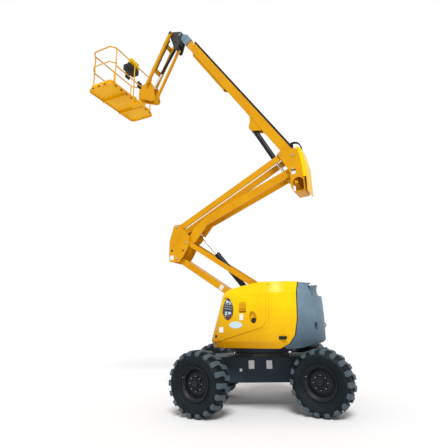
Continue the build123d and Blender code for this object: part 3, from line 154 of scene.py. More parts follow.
def rubber(name, s):
    # s: colour, dirt, dust, roughness, grain, and lugTopGrey, a lighter blue-grey for the lug tops marked as
    # tread
    mat, shader = newMaterial(name, s["colour"], s["roughness"], specular=0.14)
    coords = mat.node_tree.nodes.new("ShaderNodeTexCoord")
    dust = remap(mat, noise(mat, coords, 7.0, 6.0), 0.42, 0.72, 0.0, s["dust"])
    colour = blendColour(mat, dust, s["colour"], s["dirt"])
    # the lug tops marked as tread get a lighter blue-grey
    if "lugTopGrey" in s:
        tread = mat.node_tree.nodes.new("ShaderNodeAttribute")
        tread.attribute_name = "tread"
        colour = blendColour(mat, tread.outputs["Fac"], colour, s["lugTopGrey"])
    wire(mat, colour, shader.inputs["Base Color"])
    gloss = remap(mat, noise(mat, coords, 24.0), 0.3, 0.7, s["roughness"] - 0.1, s["roughness"] + 0.08)
    wire(mat, gloss, shader.inputs["Roughness"])
    bump = add(mat, "ShaderNodeBump", Strength=s["grain"], Distance=0.0012)
    wire(mat, noise(mat, coords, 120.0, 5.0), bump.inputs["Height"])
    wire(mat, bump.outputs["Normal"], shader.inputs["Normal"])
    return mat


def metal(name, s):
    # s: colour, roughness, metallic, dirt, film, grain, grainScale
    mat, shader = newMaterial(name, s["colour"], s["roughness"], metallic=s["metallic"])
    coords = mat.node_tree.nodes.new("ShaderNodeTexCoord")
    filmAndShade = remap(mat, noise(mat, coords, 14.0, 5.0), 0.45, 0.75, 0.0, s["filmAndShade"])
    wire(mat, blendColour(mat, filmAndShade, s["colour"], s["dirt"]), shader.inputs["Base Color"])
    gloss = remap(mat, noise(mat, coords, 40.0), 0.3, 0.7, s["roughness"] - 0.05, s["roughness"] + 0.1)
    wire(mat, gloss, shader.inputs["Roughness"])
    bump = add(mat, "ShaderNodeBump", Strength=s["grain"], Distance=0.0008)
    wire(mat, noise(mat, coords, s["grainScale"], 4.0), bump.inputs["Height"])
    bevel = add(mat, "ShaderNodeBevel", Radius=0.003)
    bevel.samples = 4
    wire(mat, bevel.outputs["Normal"], bump.inputs["Normal"])
    wire(mat, bump.outputs["Normal"], shader.inputs["Normal"])
    return mat


earth = (0.16, 0.12, 0.08)
finishes = {
    # the hood's paint carries painted shade, darker towards the bottom and the front
    "hood_paint": paint("hoodYellow", dict(
        colour=(0.96, 0.62, 0.0), shade=(0.90, 0.50, 0.0), dirt=(0.40, 0.24, 0.04), worn=(0.50, 0.30, 0.02),
        roughness=0.34, coat=0.04, wear=0.20, dust=0.05, edge=0.012, paintedShade=(0.52, 0.21, 0.0), filmAndShade=0.9,
        shadeAlong=(-0.217, 0.092, 1.0), shadeEnds=(1.90, 1.02))),
    "arm_paint": paint("armAmber", dict(
        colour=(0.70, 0.33, 0.0), shade=(0.60, 0.25, 0.0), dirt=(0.28, 0.14, 0.03), worn=(0.24, 0.13, 0.04),
        roughness=0.38, coat=0.05, wear=0.45, dust=0.12)),
    "rail_paint": paint("railAmber", dict(
        colour=(0.84, 0.44, 0.0), shade=(0.74, 0.33, 0.0), dirt=(0.30, 0.16, 0.03), worn=(0.22, 0.13, 0.05),
        roughness=0.40, wear=0.5, dust=0.12)),
    # the counterweight's paint carries painted shade, darker towards the bottom
    "weight_paint": paint("weightBlueGrey", dict(
        colour=(0.175, 0.26, 0.33), shade=(0.115, 0.175, 0.23), dirt=(0.20, 0.22, 0.24),
        worn=(0.07, 0.08, 0.09), roughness=0.48, wear=0.5, dust=0.2, peel=0.2, paintedShade=(0.035, 0.065, 0.085),
        filmAndShade=0.85, shadeAlong=(0.0, 0.0, 1.0), shadeEnds=(1.62, 1.12))),
    "frame_paint": paint("frameSlate", dict(
        colour=(0.028, 0.042, 0.055), shade=(0.018, 0.026, 0.034), dirt=(0.13, 0.115, 0.09),
        worn=(0.16, 0.15, 0.14), roughness=0.46, wear=0.5, dust=0.3)),
    "rim_paint": paint("rimBlack", dict(
        colour=(0.016, 0.018, 0.022), shade=(0.010, 0.012, 0.014), dirt=(0.12, 0.11, 0.09),
        worn=(0.12, 0.12, 0.12), roughness=0.42, wear=0.6, dust=0.35)),
    "cylinder_paint": paint("cylinderBlack", dict(
        colour=(0.012, 0.013, 0.015), shade=(0.008, 0.009, 0.010), dirt=(0.10, 0.09, 0.07),
        worn=(0.14, 0.14, 0.14), roughness=0.36, wear=0.5, dust=0.2)),
    "cast_black": metal("castBlack", dict(
        colour=(0.020, 0.021, 0.024), roughness=0.52, metallic=0.35, dirt=(0.10, 0.09, 0.07), filmAndShade=0.5,
        grain=0.35, grainScale=160.0)),
    "engine_iron": metal("engineIron", dict(
        colour=(0.06, 0.06, 0.062), roughness=0.55, metallic=0.4, dirt=earth, filmAndShade=0.5, grain=0.4,
        grainScale=140.0)),
    "rod_chrome": metal("rodChrome", dict(
        colour=(0.78, 0.79, 0.80), roughness=0.12, metallic=1.0, dirt=(0.35, 0.33, 0.30), filmAndShade=0.25,
        grain=0.03, grainScale=300.0)),
    "tyre_rubber": rubber("tyreRubber", dict(
        colour=(0.005, 0.0085, 0.0105), roughness=0.56, dirt=(0.016, 0.023, 0.029), dust=0.45, grain=0.35,
        lugTopGrey=(0.070, 0.092, 0.108))),
    "black_plastic": rubber("blackPlastic", dict(
        colour=(0.016, 0.016, 0.017), roughness=0.50, dirt=(0.12, 0.11, 0.10), dust=0.25, grain=0.12)),
}
print("finishes made")


def dress():
    slots = {part["node"]: part["material_slot"] for part in frame["record"]["subparts"]}
    for node, obj in frame["nodes"].items():
        for held in obj.material_slots:
            held.material = finishes[slots[node]]
        if not obj.material_slots:
            obj.data.materials.append(finishes[slots[node]])


dress()
print("nodes dressed")

# ---- helpers for added pieces; points are in millimetres in the turret's own frame unless a turn is given


def newPiece(name, bm, finish, body, turn=slewTurn, smooth=38.0):
    bmesh.ops.recalc_face_normals(bm, faces=bm.faces)
    mesh = bpy.data.meshes.new(name)
    bm.to_mesh(mesh)
    bm.free()
    mesh.transform(turn @ Matrix.Diagonal((0.001, 0.001, 0.001, 1.0)))  # millimetres to metres
    obj = bpy.data.objects.new(name, mesh)
    bpy.context.scene.collection.objects.link(obj)
    mesh.materials.append(finish)
    for face in mesh.polygons:
        face.use_smooth = True
    mesh.set_sharp_from_angle(angle=math.radians(smooth))
    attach(obj, body)
    return obj


def facing(origin, axis):
    return Matrix.Translation(Vector(origin)) @ Vector(axis).to_track_quat("Z", "Y").to_matrix().to_4x4()


def addRound(bm, origin, axis, radius, height, sides=16, top=None):
    place = facing(origin, axis) @ Matrix.Translation((0, 0, height / 2))
    bmesh.ops.create_cone(bm, cap_ends=True, segments=sides, radius1=radius,
                          radius2=radius if top is None else top, depth=height, matrix=place)


def addBox(bm, centre, size, turn=None):
    place = Matrix.Translation(Vector(centre))
    if turn:
        place = place @ turn
    bmesh.ops.create_cube(bm, size=1.0, matrix=place @ Matrix.Diagonal((*size, 1.0)))


def addBolt(bm, origin, axis, width):
    # washer, hexagonal head, and the shank's end above it
    outward = Vector(axis).normalized() * width
    addRound(bm, origin, axis, width * 0.85, width * 0.18, 20)
    addRound(bm, Vector(origin) + outward * 0.18, axis, width * 0.58, width * 0.42, 6)
    addRound(bm, Vector(origin) + outward * 0.6, axis, width * 0.3, width * 0.14, 10)


def addTube(bm, points, radius, sides=10):
    points = [Vector(p) for p in points]
    rings = []
    side = Vector((0, 1, 0))  # carried from ring to ring, so that the tube doesn't twist
    for index, point in enumerate(points):
        ahead = points[min(index + 1, len(points) - 1)] - points[max(index - 1, 0)]
        ahead.normalize()
        side = side - ahead * side.dot(ahead)
        if side.length < 0.01:
            side = ahead.orthogonal()
        side.normalize()
        up = ahead.cross(side)
        ring = []
        for turnIndex in range(sides):
            angle = 2 * math.pi * turnIndex / sides
            ring.append(bm.verts.new(point + (side * math.cos(angle) + up * math.sin(angle)) * radius))
        rings.append(ring)
    for first, second in zip(rings, rings[1:]):
        for turnIndex in range(sides):
            other = (turnIndex + 1) % sides
            bm.faces.new((first[turnIndex], first[other], second[other], second[turnIndex]))
    bm.faces.new(rings[0])
    bm.faces.new(rings[-1])


def smoothPath(points, steps=8):
    # curve through all the points, with the same slope on both sides of each
    points = [Vector(p) for p in points]
    ends = [points[0] * 2 - points[1]] + points + [points[-1] * 2 - points[-2]]
    path = []
    for a, b, c, d in zip(ends, ends[1:], ends[2:], ends[3:]):
        for index in range(steps):
            t = index / steps
            path.append(0.5 * (2 * b + (c - a) * t + (2 * a - 5 * b + 4 * c - d) * t * t
                               + (3 * b - a - 3 * c + d) * t ** 3))
    path.append(points[-1])
    return path


def surfaceTree(node):
    bm = bmesh.new()
    bm.from_mesh(frame["nodes"][node].data)
    tree = BVHTree.FromBMesh(bm)
    bm.free()
    return tree


trees = {}  # one for each node that carries patches
castFrom = 2600.0  # how far out a patch starts before it is laid on its panel, in millimetres


def roundedOutline(wide, high, cut, steps=8):
    # rectangle with clipped corners; each edge has steps points, so that it follows a curved panel
    corners = [(wide - cut, high), (cut - wide, high), (-wide, high - cut), (-wide, cut - high),
               (cut - wide, -high), (wide - cut, -high), (wide, cut - high), (wide, high - cut)]
    outline = []
    for index, (x, z) in enumerate(corners):
        nextX, nextZ = corners[(index + 1) % len(corners)]
        count = steps if math.hypot(nextX - x, nextZ - z) > cut * 2 else 1
        outline += [(x + (nextX - x) * step / count, z + (nextZ - z) * step / count) for step in range(count)]
    return outline


def patch(name, s):
    # s: node, body, finish, centre and half size (x, z), and where wanted side, shape, lean, turn, thick
    if s["node"] not in trees:
        trees[s["node"]] = surfaceTree(s["node"])
    turn = s.get("turn", slewTurn)
    side = s.get("side", 1)
    thick = s.get("thick", 1.8)
    lean = math.radians(s.get("lean", 0.0))
    wide, high = s["half"]
    if s.get("shape") == "oval":
        angles = [2 * math.pi * index / 32 for index in range(32)]
        outline = [(wide * math.cos(angle), high * math.sin(angle)) for angle in angles]
    else:
        outline = roundedOutline(wide, high, min(wide, high) * 0.12)
    rings = [[(x * share, z * share) for x, z in outline] for share in (1.0, 0.75, 0.5, 0.25)]
    bm = bmesh.new()
    layers = {}
    back = turn.to_3x3().inverted()
    for layer, lift in (("top", thick), ("base", -0.6)):
        layers[layer] = []
        for ring in rings:
            verts = []
            for x, z in ring:
                px = s["centre"][0] + x * math.cos(lean) - z * math.sin(lean)
                pz = s["centre"][1] + x * math.sin(lean) + z * math.cos(lean)
                origin = turn @ (Vector((px, side * castFrom, pz)) * 0.001)
                away = turn.to_3x3() @ Vector((0, -side, 0))
                hit, normal, _, _ = trees[s["node"]].ray_cast(origin, away)
                if hit is None:
                    bm.free()
                    print("patch misses", name)
                    return None
                if normal.dot(away) > 0:
                    normal = -normal
                verts.append(bm.verts.new(back @ (hit * 1000.0 + normal * lift)))
            layers[layer].append(verts)
    size = len(outline)
    for layer in layers.values():
        for first, second in zip(layer, layer[1:]):
            for index in range(size):
                other = (index + 1) % size
                bm.faces.new((first[index], first[other], second[other], second[index]))
        bm.faces.new(layer[-1])
    for index in range(size):
        other = (index + 1) % size
        bm.faces.new((layers["top"][0][index], layers["top"][0][other], layers["base"][0][other],
                      layers["base"][0][index]))
    return newPiece(name, bm, s["finish"], s["body"], turn=turn, smooth=30.0)


blankWhite = paint("blankWhite", dict(
    colour=(0.80, 0.81, 0.80), shade=(0.70, 0.71, 0.70), dirt=earth, worn=(0.45, 0.42, 0.36),
    roughness=0.42, wear=0.4, dust=0.10, peel=0.02))
paleBlue = paint("paleBlue", dict(
    colour=(0.52, 0.66, 0.78), shade=(0.62, 0.72, 0.80), dirt=earth, worn=(0.5, 0.5, 0.5),
    roughness=0.4, wear=0.3, dust=0.08, peel=0.02))
panelGrey = paint("panelGrey", dict(
    colour=(0.075, 0.095, 0.13), shade=(0.05, 0.065, 0.09), dirt=earth, worn=(0.3, 0.3, 0.3),
    roughness=0.45, wear=0.5, dust=0.15))
signalRed = paint("signalRed", dict(
    colour=(0.55, 0.02, 0.015), shade=(0.42, 0.015, 0.012), dirt=earth, worn=(0.2, 0.1, 0.1),
    roughness=0.35, wear=0.3, dust=0.1))
zinc = metal("boltZinc", dict(
    colour=(0.52, 0.52, 0.50), roughness=0.34, metallic=0.9, dirt=(0.16, 0.13, 0.10), filmAndShade=0.5,
    grain=0.15, grainScale=220.0))
hoseBlack = rubber("hoseBlack", dict(
    colour=(0.012, 0.012, 0.013), roughness=0.55, dirt=(0.10, 0.09, 0.08), dust=0.35, grain=0.2))
weldAmber = metal("weldAmber", dict(
    colour=(0.70, 0.36, 0.02), roughness=0.45, metallic=0.0, dirt=earth, filmAndShade=0.35,
    grain=0.6, grainScale=420.0))

# ---- tyres: carcass of revolution with two rows of hooked lugs, in the space of the plain ones

tyre = dict(
    lugs=18, steps=90, spans=4, draft=5.0, treadRadius=510.0,
    # radius and distance from the middle, from the middle of the tread down the outside to the bead
    profile=((479, 0), (479, 60), (477, 108), (471, 132), (461, 152), (448, 168), (430, 180), (410, 187),
             (404, 191), (398, 191), (394, 187), (372, 182), (350, 174), (330, 165), (326, 166), (320, 165),
             (316, 160), (300, 154), (288, 149), (276, 146), (271.6, 141), (271.6, 100), (271.6, 0)),
    # across the tread, outer radius, inner across, inner radius, leading edge, trailing edge along the tread
    lug=((-14, 506, -14, 468, -24, 60), (8, 509, 8, 468, -28, 64), (34, 509.5, 34, 468, -33, 66),
         (44, 509.5, 44, 468, -35, 46), (60, 509.5, 60, 468, -36, 36), (118, 508.5, 112, 462, -37, 34),
         (140, 500, 132, 456, -39, 35), (160, 491, 146, 448, -44, 38), (180, 481, 158, 440, -48, 42),
         (191, 470, 164, 430, -49, 43), (193.5, 452, 168, 420, -44, 38), (191, 434, 170, 412, -34, 28)))


def tyreMesh(hand):
    bm = bmesh.new()
    tread = bm.verts.layers.float.new("tread")
    loop = list(tyre["profile"])
    loop += [(radius, -across) for radius, across in reversed(tyre["profile"]) if across]
    verts = [bm.verts.new((radius, across, 0)) for radius, across in loop]
    edges = [bm.edges.new((verts[index], verts[(index + 1) % len(verts)])) for index in range(len(verts))]
    bmesh.ops.spin(bm, geom=verts + edges, cent=(0, 0, 0), axis=(0, 1, 0), dvec=(0, 0, 0),
                   angle=2 * math.pi, steps=tyre["steps"], use_merge=True, use_duplicate=False)
    pitch = 2 * math.pi / tyre["lugs"]
    spans = tyre["spans"]
    for row, shift in ((1, 0.0), (-1, 0.5)):
        for index in range(tyre["lugs"]):
            middle = (index + shift) * pitch
            stations = []
            for y, outer, yIn, inner, lead, trail in tyre["lug"]:
                top = []
                base = []
                for step in range(spans + 1):
                    along = lead + (trail - lead) * step / spans
                    draft = {0: -tyre["draft"], spans: tyre["draft"]}.get(step, 0.0)
                    a = middle + hand * row * along / tyre["treadRadius"]
                    b = middle + hand * row * (along + draft) / tyre["treadRadius"]
                    top.append(bm.verts.new((outer * math.cos(a), row * y, outer * math.sin(a))))
                    top[-1][tread] = 1.0
                    base.append(bm.verts.new((inner * math.cos(b), row * yIn, inner * math.sin(b))))
                stations.append(top + base[::-1])
            size = len(stations[0])
            for first, second in zip(stations, stations[1:]):
                for corner in range(size):
                    other = (corner + 1) % size
                    bm.faces.new((first[corner], first[other], second[other], second[corner]))
            for cap in (stations[0], stations[-1]):
                for step in range(spans):
                    bm.faces.new((cap[step], cap[step + 1], cap[size - 2 - step], cap[size - 1 - step]))
    return bm


def wheelPlace(corner):
    low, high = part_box("tyre_" + corner)
    centre = (Vector(low) + Vector(high)) / 2
    return Matrix.Translation(centre) @ steerTurn


studs = dict(count=8, circle=112, foot=60, radius=6, length=52)
valve = dict(angle=0.4, circle=228, foot=100, axisLean=0.15, radius=7, length=60)
for corner in ("front_left", "front_right", "rear_left", "rear_right"):
    hand = 1 if "left" in corner else -1
    place = wheelPlace(corner)
    obj = newPiece("tyre_" + corner + "_lugged", tyreMesh(hand), finishes["tyre_rubber"], "wheel_" + corner,
                   turn=place, smooth=32.0)
    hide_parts("tyre_" + corner)
    bm = bmesh.new()
    for index in range(studs["count"]):
        angle = 2 * math.pi * index / studs["count"]
        foot = (studs["circle"] * math.cos(angle), hand * studs["foot"], studs["circle"] * math.sin(angle))
        addRound(bm, foot, (0, hand, 0), studs["radius"], studs["length"], 10)
    foot = (valve["circle"] * math.cos(valve["angle"]), hand * valve["foot"],
            valve["circle"] * math.sin(valve["angle"]))
    addRound(bm, foot, (valve["axisLean"], hand, 0), valve["radius"], valve["length"], 10)
    newPiece("studs_" + corner, bm, zinc, "wheel_" + corner, turn=place)
print("tyres made")

# ---- hood fittings

# the plate stands on the flat floor of the hood's oval recess; floor is that face's distance off the middle
panel = dict(centre=(234.0, 1672.0), half=(104.0, 186.0), floor=926.0, lean=-9.0, thick=6.0, proud=0.4)


def onPanel(x, z, depth=0.0):
    lean = math.radians(panel["lean"])
    return (panel["centre"][0] + x * math.cos(lean) + z * math.sin(lean), panel["floor"] + depth,
            panel["centre"][1] - x * math.sin(lean) + z * math.cos(lean))


def panelPlate():
    bm = bmesh.new()
    wide, high = panel["half"]
    angles = [2 * math.pi * index / 48 for index in range(48)]
    rim = [onPanel(wide * math.cos(angle), high * math.sin(angle), panel["proud"]) for angle in angles]
    face = bm.faces.new([bm.verts.new(point) for point in rim])
    out = bmesh.ops.extrude_face_region(bm, geom=[face])
    moved = [item for item in out["geom"] if isinstance(item, bmesh.types.BMVert)]
    bmesh.ops.translate(bm, vec=(0, panel["thick"], 0), verts=moved)
    bmesh.ops.bevel(bm, geom=[edge for edge in bm.edges if all(v in moved for v in edge.verts)], offset=2.0,
                    segments=2, profile=0.5, affect="EDGES", material=-1)
    return newPiece("panel_plate", bm, panelGrey, "hood_left")


panelPlate()
columns = (-56, -18, 20, 56)
switches = tuple((x, z, 11, 20) for z in (58, 20, -18) for x in columns)
labels = tuple((x, z, 24, 10) for z in (79, 41, 3) for x in columns)
controls = (
    # name, finish, round or box, and for each its place on the panel with its width or radius and its height
    ("panel_window", paleBlue, "box", ((-30, 118, 62, 44), (34, 118, 44, 44))),
    ("panel_switches", hoseBlack, "round", switches),
    ("panel_labels", blankWhite, "box", labels),
    ("panel_lower", paleBlue, "box", ((-34, -66, 52, 38), (30, -62, 44, 24), (30, -96, 44, 24))),
    ("panel_stop", signalRed, "round", ((-30, -128, 20, 26),)),
    ("panel_key", zinc, "round", ((34, -130, 12, 14),)))
panelTilt = Matrix.Rotation(math.radians(-panel["lean"]), 4, "Y")
for name, finish, shape, rows in controls:
    bm = bmesh.new()
    for x, z, wide, high in rows:
        if shape == "box":
            addBox(bm, onPanel(x, z, 7.0), (wide, 3.0, high), panelTilt)
        else:
            addRound(bm, onPanel(x, z, 6.0), (0, 1, 0), wide, 5, 20)
            addRound(bm, onPanel(x, z, 11.0), (0, 1, 0), wide * 0.55, high * 0.6, 16, wide * 0.45)
    newPiece(name, bm, finish, "hood_left")

fillerCap = dict(centre=(-240, 1476), foot=950, radius=40, thick=20, ribs=14, ribAt=962, rib=(7, 16, 7))
latch = dict(height=1200, base=(-711, 930, (118, 20, 52)), grip=(-690, 944, (40, 10, 26)))
for hand, side in (("left", 1), ("right", -1)):
    bm = bmesh.new()
    x, z = fillerCap["centre"]
    addRound(bm, (x, side * fillerCap["foot"], z), (0, side, 0), fillerCap["radius"], fillerCap["thick"], 28)
    for index in range(fillerCap["ribs"]):
        angle = 2 * math.pi * index / fillerCap["ribs"]
        place = (x + fillerCap["radius"] * math.cos(angle), side * fillerCap["ribAt"],
                 z + fillerCap["radius"] * math.sin(angle))
        addBox(bm, place, fillerCap["rib"], Matrix.Rotation(-angle, 4, "Y"))
    newPiece("filler_cap_" + hand, bm, finishes["black_plastic"], "hood_" + hand)
    bm = bmesh.new()
    for x, y, size in (latch["base"], latch["grip"]):
        addBox(bm, (x, side * y, latch["height"]), size)
    newPiece("latch_" + hand, bm, finishes["black_plastic"], "hood_" + hand)

hoodFace = dict(node="hood_left", body="hood_left")
knuckleFace = dict(node="front_knuckle", body="front_knuckle")
rearFace = dict(node="rear_knuckle", body="rear_knuckle")
armFace = dict(node="lower_arm", body="lower_arm")
chassisFace = dict(node="chassis_frame", body="chassis", turn=stillTurn)
stickers = (
    ("sticker_tall", dict(hoodFace, centre=(-34, 1534), half=(34, 52), finish=blankWhite)),
    ("sticker_oval", dict(hoodFace, centre=(71, 1406), half=(118, 56), finish=paleBlue, shape="oval")),
    ("sticker_small", dict(hoodFace, centre=(344, 1327), half=(44, 44), finish=blankWhite)),
    ("plug_front", dict(hoodFace, centre=(450, 1220), half=(24, 24), finish=hoseBlack, shape="oval",
                        thick=3.0)),
    ("label_knuckle_low", dict(knuckleFace, centre=(1899, 2805), half=(44, 50), finish=blankWhite)),
    ("label_arm", dict(armFace, centre=(770, 2122), half=(44, 50), lean=33.3, finish=blankWhite)),
    ("label_rear_knuckle", dict(rearFace, centre=(-872, 4246), half=(38, 34), finish=blankWhite)),
    # the slot is a thin dark patch: painted shadow where the opening would be
    ("slot_shadow_rear_knuckle", dict(rearFace, centre=(-875, 4297), half=(46, 12), finish=hoseBlack)),
    ("plate_chassis_a", dict(chassisFace, centre=(203, 727), half=(50, 70), finish=blankWhite)),
    ("plate_chassis_b", dict(chassisFace, centre=(-108, 724), half=(50, 70), finish=blankWhite)),
    ("plate_chassis_c", dict(chassisFace, centre=(389, 638), half=(22, 24), finish=blankWhite)))
for name, s in stickers:
    patch(name, s)

louvre = dict(slats=7, x=-56, lowest=1612, pitch=26, half=(62, 8), thick=4.0)
for side, hand in ((1, "left"), (-1, "right")):
    for index in range(louvre["slats"]):
        height = louvre["lowest"] + index * louvre["pitch"]
        patch("louvre_%s_%d" % (hand, index), dict(
            node="hood_" + hand, body="hood_" + hand, side=side, thick=louvre["thick"],
            centre=(louvre["x"], height), half=louvre["half"], finish=finishes["arm_paint"]))
print("hood and labels made")

# ---- pins: a cap and a bolt on both ends of each

pinCap = dict(foot=208, radius=24, topRadius=21, thick=5, bolt=15)
pins = (
    # body that carries the pin's head, and the pin's place
    ("front_knuckle", (1770.4, 2780.8)), ("front_knuckle", (1527.4, 3107.8)),
    ("front_knuckle", (1783.4, 3465.8)), ("rear_knuckle", (-858.4, 4328.6)),
    ("rear_knuckle", (-602.4, 4686.6)), ("rear_knuckle", (-882.4, 4610.6)))
for index, (body, (x, z)) in enumerate(pins):
    bm = bmesh.new()
    for side in (1, -1):
        addRound(bm, (x, side * pinCap["foot"], z), (0, side, 0), pinCap["radius"], pinCap["thick"], 28,
                 pinCap["topRadius"])
        addBolt(bm, (x, side * (pinCap["foot"] + pinCap["thick"]), z), (0, side, 0), pinCap["bolt"])
    newPiece("pin_cap_%d" % index, bm, zinc, body)

# inspection plugs in the front knuckle's plates
plugs = dict(foot=198.5, thick=3.0, places=((1902, 2960, 24), (1623, 2941, 20)))
bm = bmesh.new()
for x, z, radius in plugs["places"]:
    for side in (1, -1):
        addRound(bm, (x, side * plugs["foot"], z), (0, side, 0), radius, plugs["thick"], 28)
newPiece("knuckle_plugs", bm, hoseBlack, "front_knuckle")

# ---- boom: chain pins, cable arch, wear pad screws and weld beads

boom = dict(angle=math.radians(55.9), pin=Vector((-882.4, 0, 4610.6)))


def onBeam(beam, distance, height, y=0.0):
    # point along a beam and square to it, both from its foot pin
    cos, sin = math.cos(beam["angle"]), math.sin(beam["angle"])
    return Vector((beam["pin"].x + distance * cos - height * sin, y,
                   beam["pin"].z + distance * sin + height * cos))


def onBoom(distance, height, y=0.0):
    return onBeam(boom, distance, height, y)


boomTilt = Matrix.Rotation(-boom["angle"], 4, "Y")
chain = dict(links=62, firstPin=235, pitch=66, height=94, pinAt=45, pinRadius=11, pinThick=2.5,
             plateAt=45.5, plate=(44, 2.0, 30))
bm = bmesh.new()
for index in range(chain["links"]):
    distance = chain["firstPin"] + chain["pitch"] * index
    for side in (1, -1):
        addRound(bm, onBoom(distance, chain["height"], side * chain["pinAt"]), (0, side, 0),
                 chain["pinRadius"], chain["pinThick"], 12)
        addBox(bm, onBoom(distance, chain["height"], side * chain["plateAt"]), chain["plate"], boomTilt)
newPiece("chain_pins", bm, hoseBlack, "boom")

cables = dict(radius=12, rows=(-26, 0, 26), clampAt=(300, 129), clamp=(26, 96, 34))
bm = bmesh.new()
for y in cables["rows"]:
    path = [onBoom(330, 128, y), onBoom(270, 130, y), (-800, y, 4948), (-868, y, 4962), (-945, y, 4936),
            (-996, y, 4868), (-1012, y, 4780), (-1000, y, 4700), (-950, y, 4650)]
    addTube(bm, smoothPath(path), cables["radius"])
newPiece("cable_arch", bm, hoseBlack, "boom")
bm = bmesh.new()
addBox(bm, onBoom(*cables["clampAt"]), cables["clamp"], boomTilt)
newPiece("cable_clamp", bm, finishes["cast_black"], "boom")

padScrews = dict(distances=(4230, 4315), heights=(-85, 35), aside=85, size=14)
bm = bmesh.new()
for distance in padScrews["distances"]:
    for height in padScrews["heights"]:
        for side in (1, -1):
            addBolt(bm, onBoom(distance, height, side * padScrews["aside"]), (0, side, 0), padScrews["size"])
newPiece("wear_pad_screws", bm, zinc, "boom")

beads = (
    # start, end and step along the boom, height, distance off the middle, radius
    (980, 1510, 12, -121.5, 60, 4.5),
    (2500, 4050, 25, -121.0, 64, 3.5))
bm = bmesh.new()
for side in (1, -1):
    for start, end, step, height, aside, radius in beads:
        path = [onBoom(distance, height, side * aside) for distance in range(start, end, step)]
        addTube(bm, path, radius, 6)
newPiece("boom_beads", bm, weldAmber, "boom")
print("boom dressed")

# ---- hydraulic lines clamped to the jib

jib = dict(angle=math.radians(-62.0), pin=Vector((2101.1, 0, 8640.1)), lines=(112, 92, 72), lineRadius=8,
           bends=((150, 6), (430, -4), (710, 4), (990, -4)), clamps=(170, 435, 705, 970), clampAside=102,
           clamp=(30, 70, 30))
bm = bmesh.new()
for y in jib["lines"]:
    path = [onBeam(jib, distance, height, y) for distance, height in jib["bends"]]
    addTube(bm, smoothPath(path, 6), jib["lineRadius"])
newPiece("jib_lines", bm, hoseBlack, "jib_arm")
bm = bmesh.new()
for distance in jib["clamps"]:
    addBox(bm, onBeam(jib, distance, 0, jib["clampAside"]), jib["clamp"],
           Matrix.Rotation(-jib["angle"], 4, "Y"))
newPiece("jib_clamps", bm, finishes["cast_black"], "jib_arm")

# ---- basket: hatch patches on the floor's edge, tread plate, console fittings

basket = dict(x=3701.4, floorLow=7140.0, halfDeep=380, halfLong=880, edgeHeight=37, patchThick=1.6,
              longPatch=74, longPitch=100, endPatch=70, endPitch=95)
middle = basket["floorLow"] + 20
bm = bmesh.new()
for side in (1, -1):
    for index in range(-7, 8, 2):
        addBox(bm, (basket["x"] + side * basket["halfDeep"], index * basket["longPitch"], middle),
               (basket["patchThick"], basket["longPatch"], basket["edgeHeight"]))
    for index in (-2, 0, 2):
        addBox(bm, (basket["x"] + index * basket["endPitch"], side * basket["halfLong"], middle),
               (basket["endPatch"], basket["patchThick"], basket["edgeHeight"]))
newPiece("edge_patches", bm, hoseBlack, "basket")

treadBars = dict(columns=range(-11, 12), rows=range(-5, 6), pitch=(54, 66), height=41.0, size=(34, 8, 2.4))
bm = bmesh.new()
for column in treadBars["columns"]:
    for row in treadBars["rows"]:
        angle = 45.0 if (column + row) % 2 else -45.0
        x, y = basket["x"] + row * treadBars["pitch"][0], column * treadBars["pitch"][1]
        addBox(bm, (x, y, basket["floorLow"] + treadBars["height"]), treadBars["size"],
               Matrix.Rotation(math.radians(angle), 4, "Z"))
newPiece("tread_bars", bm, finishes["rail_paint"], "basket")

console = dict(
    # each fitting's distance back from the basket's middle, then sizes and places across the basket
    faceBack=235, stickBack=240, knobBack=234, buttonBack=205, stopBack=270, guardBack=330, cheekBack=322,
    face=(180, 350, 8), sticks=(-120, 120), buttons=(-60, -30, 0, 30, 60), guard=(6, 360, 150),
    guardLean=-18.0, cheek=(60, 6, 90), cheekAt=176)
consoleTop = basket["floorLow"] + 1060
upward = (0, 0, 1)
stickAxis = (0.1, 0, 1)
bm = bmesh.new()
addBox(bm, (basket["x"] - console["faceBack"], 0, consoleTop + 5), console["face"])
newPiece("console_face", bm, panelGrey, "basket")
bm = bmesh.new()
for y in console["sticks"]:
    addRound(bm, (basket["x"] - console["stickBack"], y, consoleTop + 8), upward, 24, 14, 24, 18)
    addRound(bm, (basket["x"] - console["stickBack"], y, consoleTop + 20), stickAxis, 8, 60, 14, 6)
    addRound(bm, (basket["x"] - console["knobBack"], y, consoleTop + 76), stickAxis, 15, 26, 18, 12)
for y in console["buttons"]:
    addRound(bm, (basket["x"] - console["buttonBack"], y, consoleTop + 8), upward, 9, 16, 14)
newPiece("joysticks", bm, finishes["black_plastic"], "basket")
bm = bmesh.new()
addRound(bm, (basket["x"] - console["stopBack"], 0, consoleTop + 8), upward, 18, 14, 24, 16)
newPiece("console_stop", bm, signalRed, "basket")
bm = bmesh.new()
addBox(bm, (basket["x"] - console["guardBack"], 0, consoleTop + 90), console["guard"],
       Matrix.Rotation(math.radians(console["guardLean"]), 4, "Y"))
for side in (1, -1):
    addBox(bm, (basket["x"] - console["cheekBack"], side * console["cheekAt"], consoleTop + 50),
           console["cheek"])
bmesh.ops.bevel(bm, geom=list(bm.edges), offset=2.0, segments=2, profile=0.5, affect="EDGES", material=-1)
newPiece("console_guard", bm, finishes["hood_paint"], "basket")

boxes = dict(back=340, places=(-250, 250), height=620, size=(46, 150, 190), rounding=10.0)
bm = bmesh.new()
for y in boxes["places"]:
    addBox(bm, (basket["x"] - boxes["back"], y, basket["floorLow"] + boxes["height"]), boxes["size"])
bmesh.ops.bevel(bm, geom=list(bm.edges), offset=boxes["rounding"], segments=3, profile=0.5, affect="EDGES",
                material=-1)
newPiece("basket_boxes", bm, finishes["black_plastic"], "basket")
print("basket fitted")

# ---- studio

studio = dict(
    eye=(0.324, 7.487, 1.475), look=(0.0455, -0.967, 0.248), roll=-0.015, lens=30.6, floorHalf=60.0,
    floorColour=(0.93, 0.93, 0.93), skyStrength=0.50, sun=2.5, sunAngle=22.0, sunTurn=(-38.0, 14.0, 20.0))


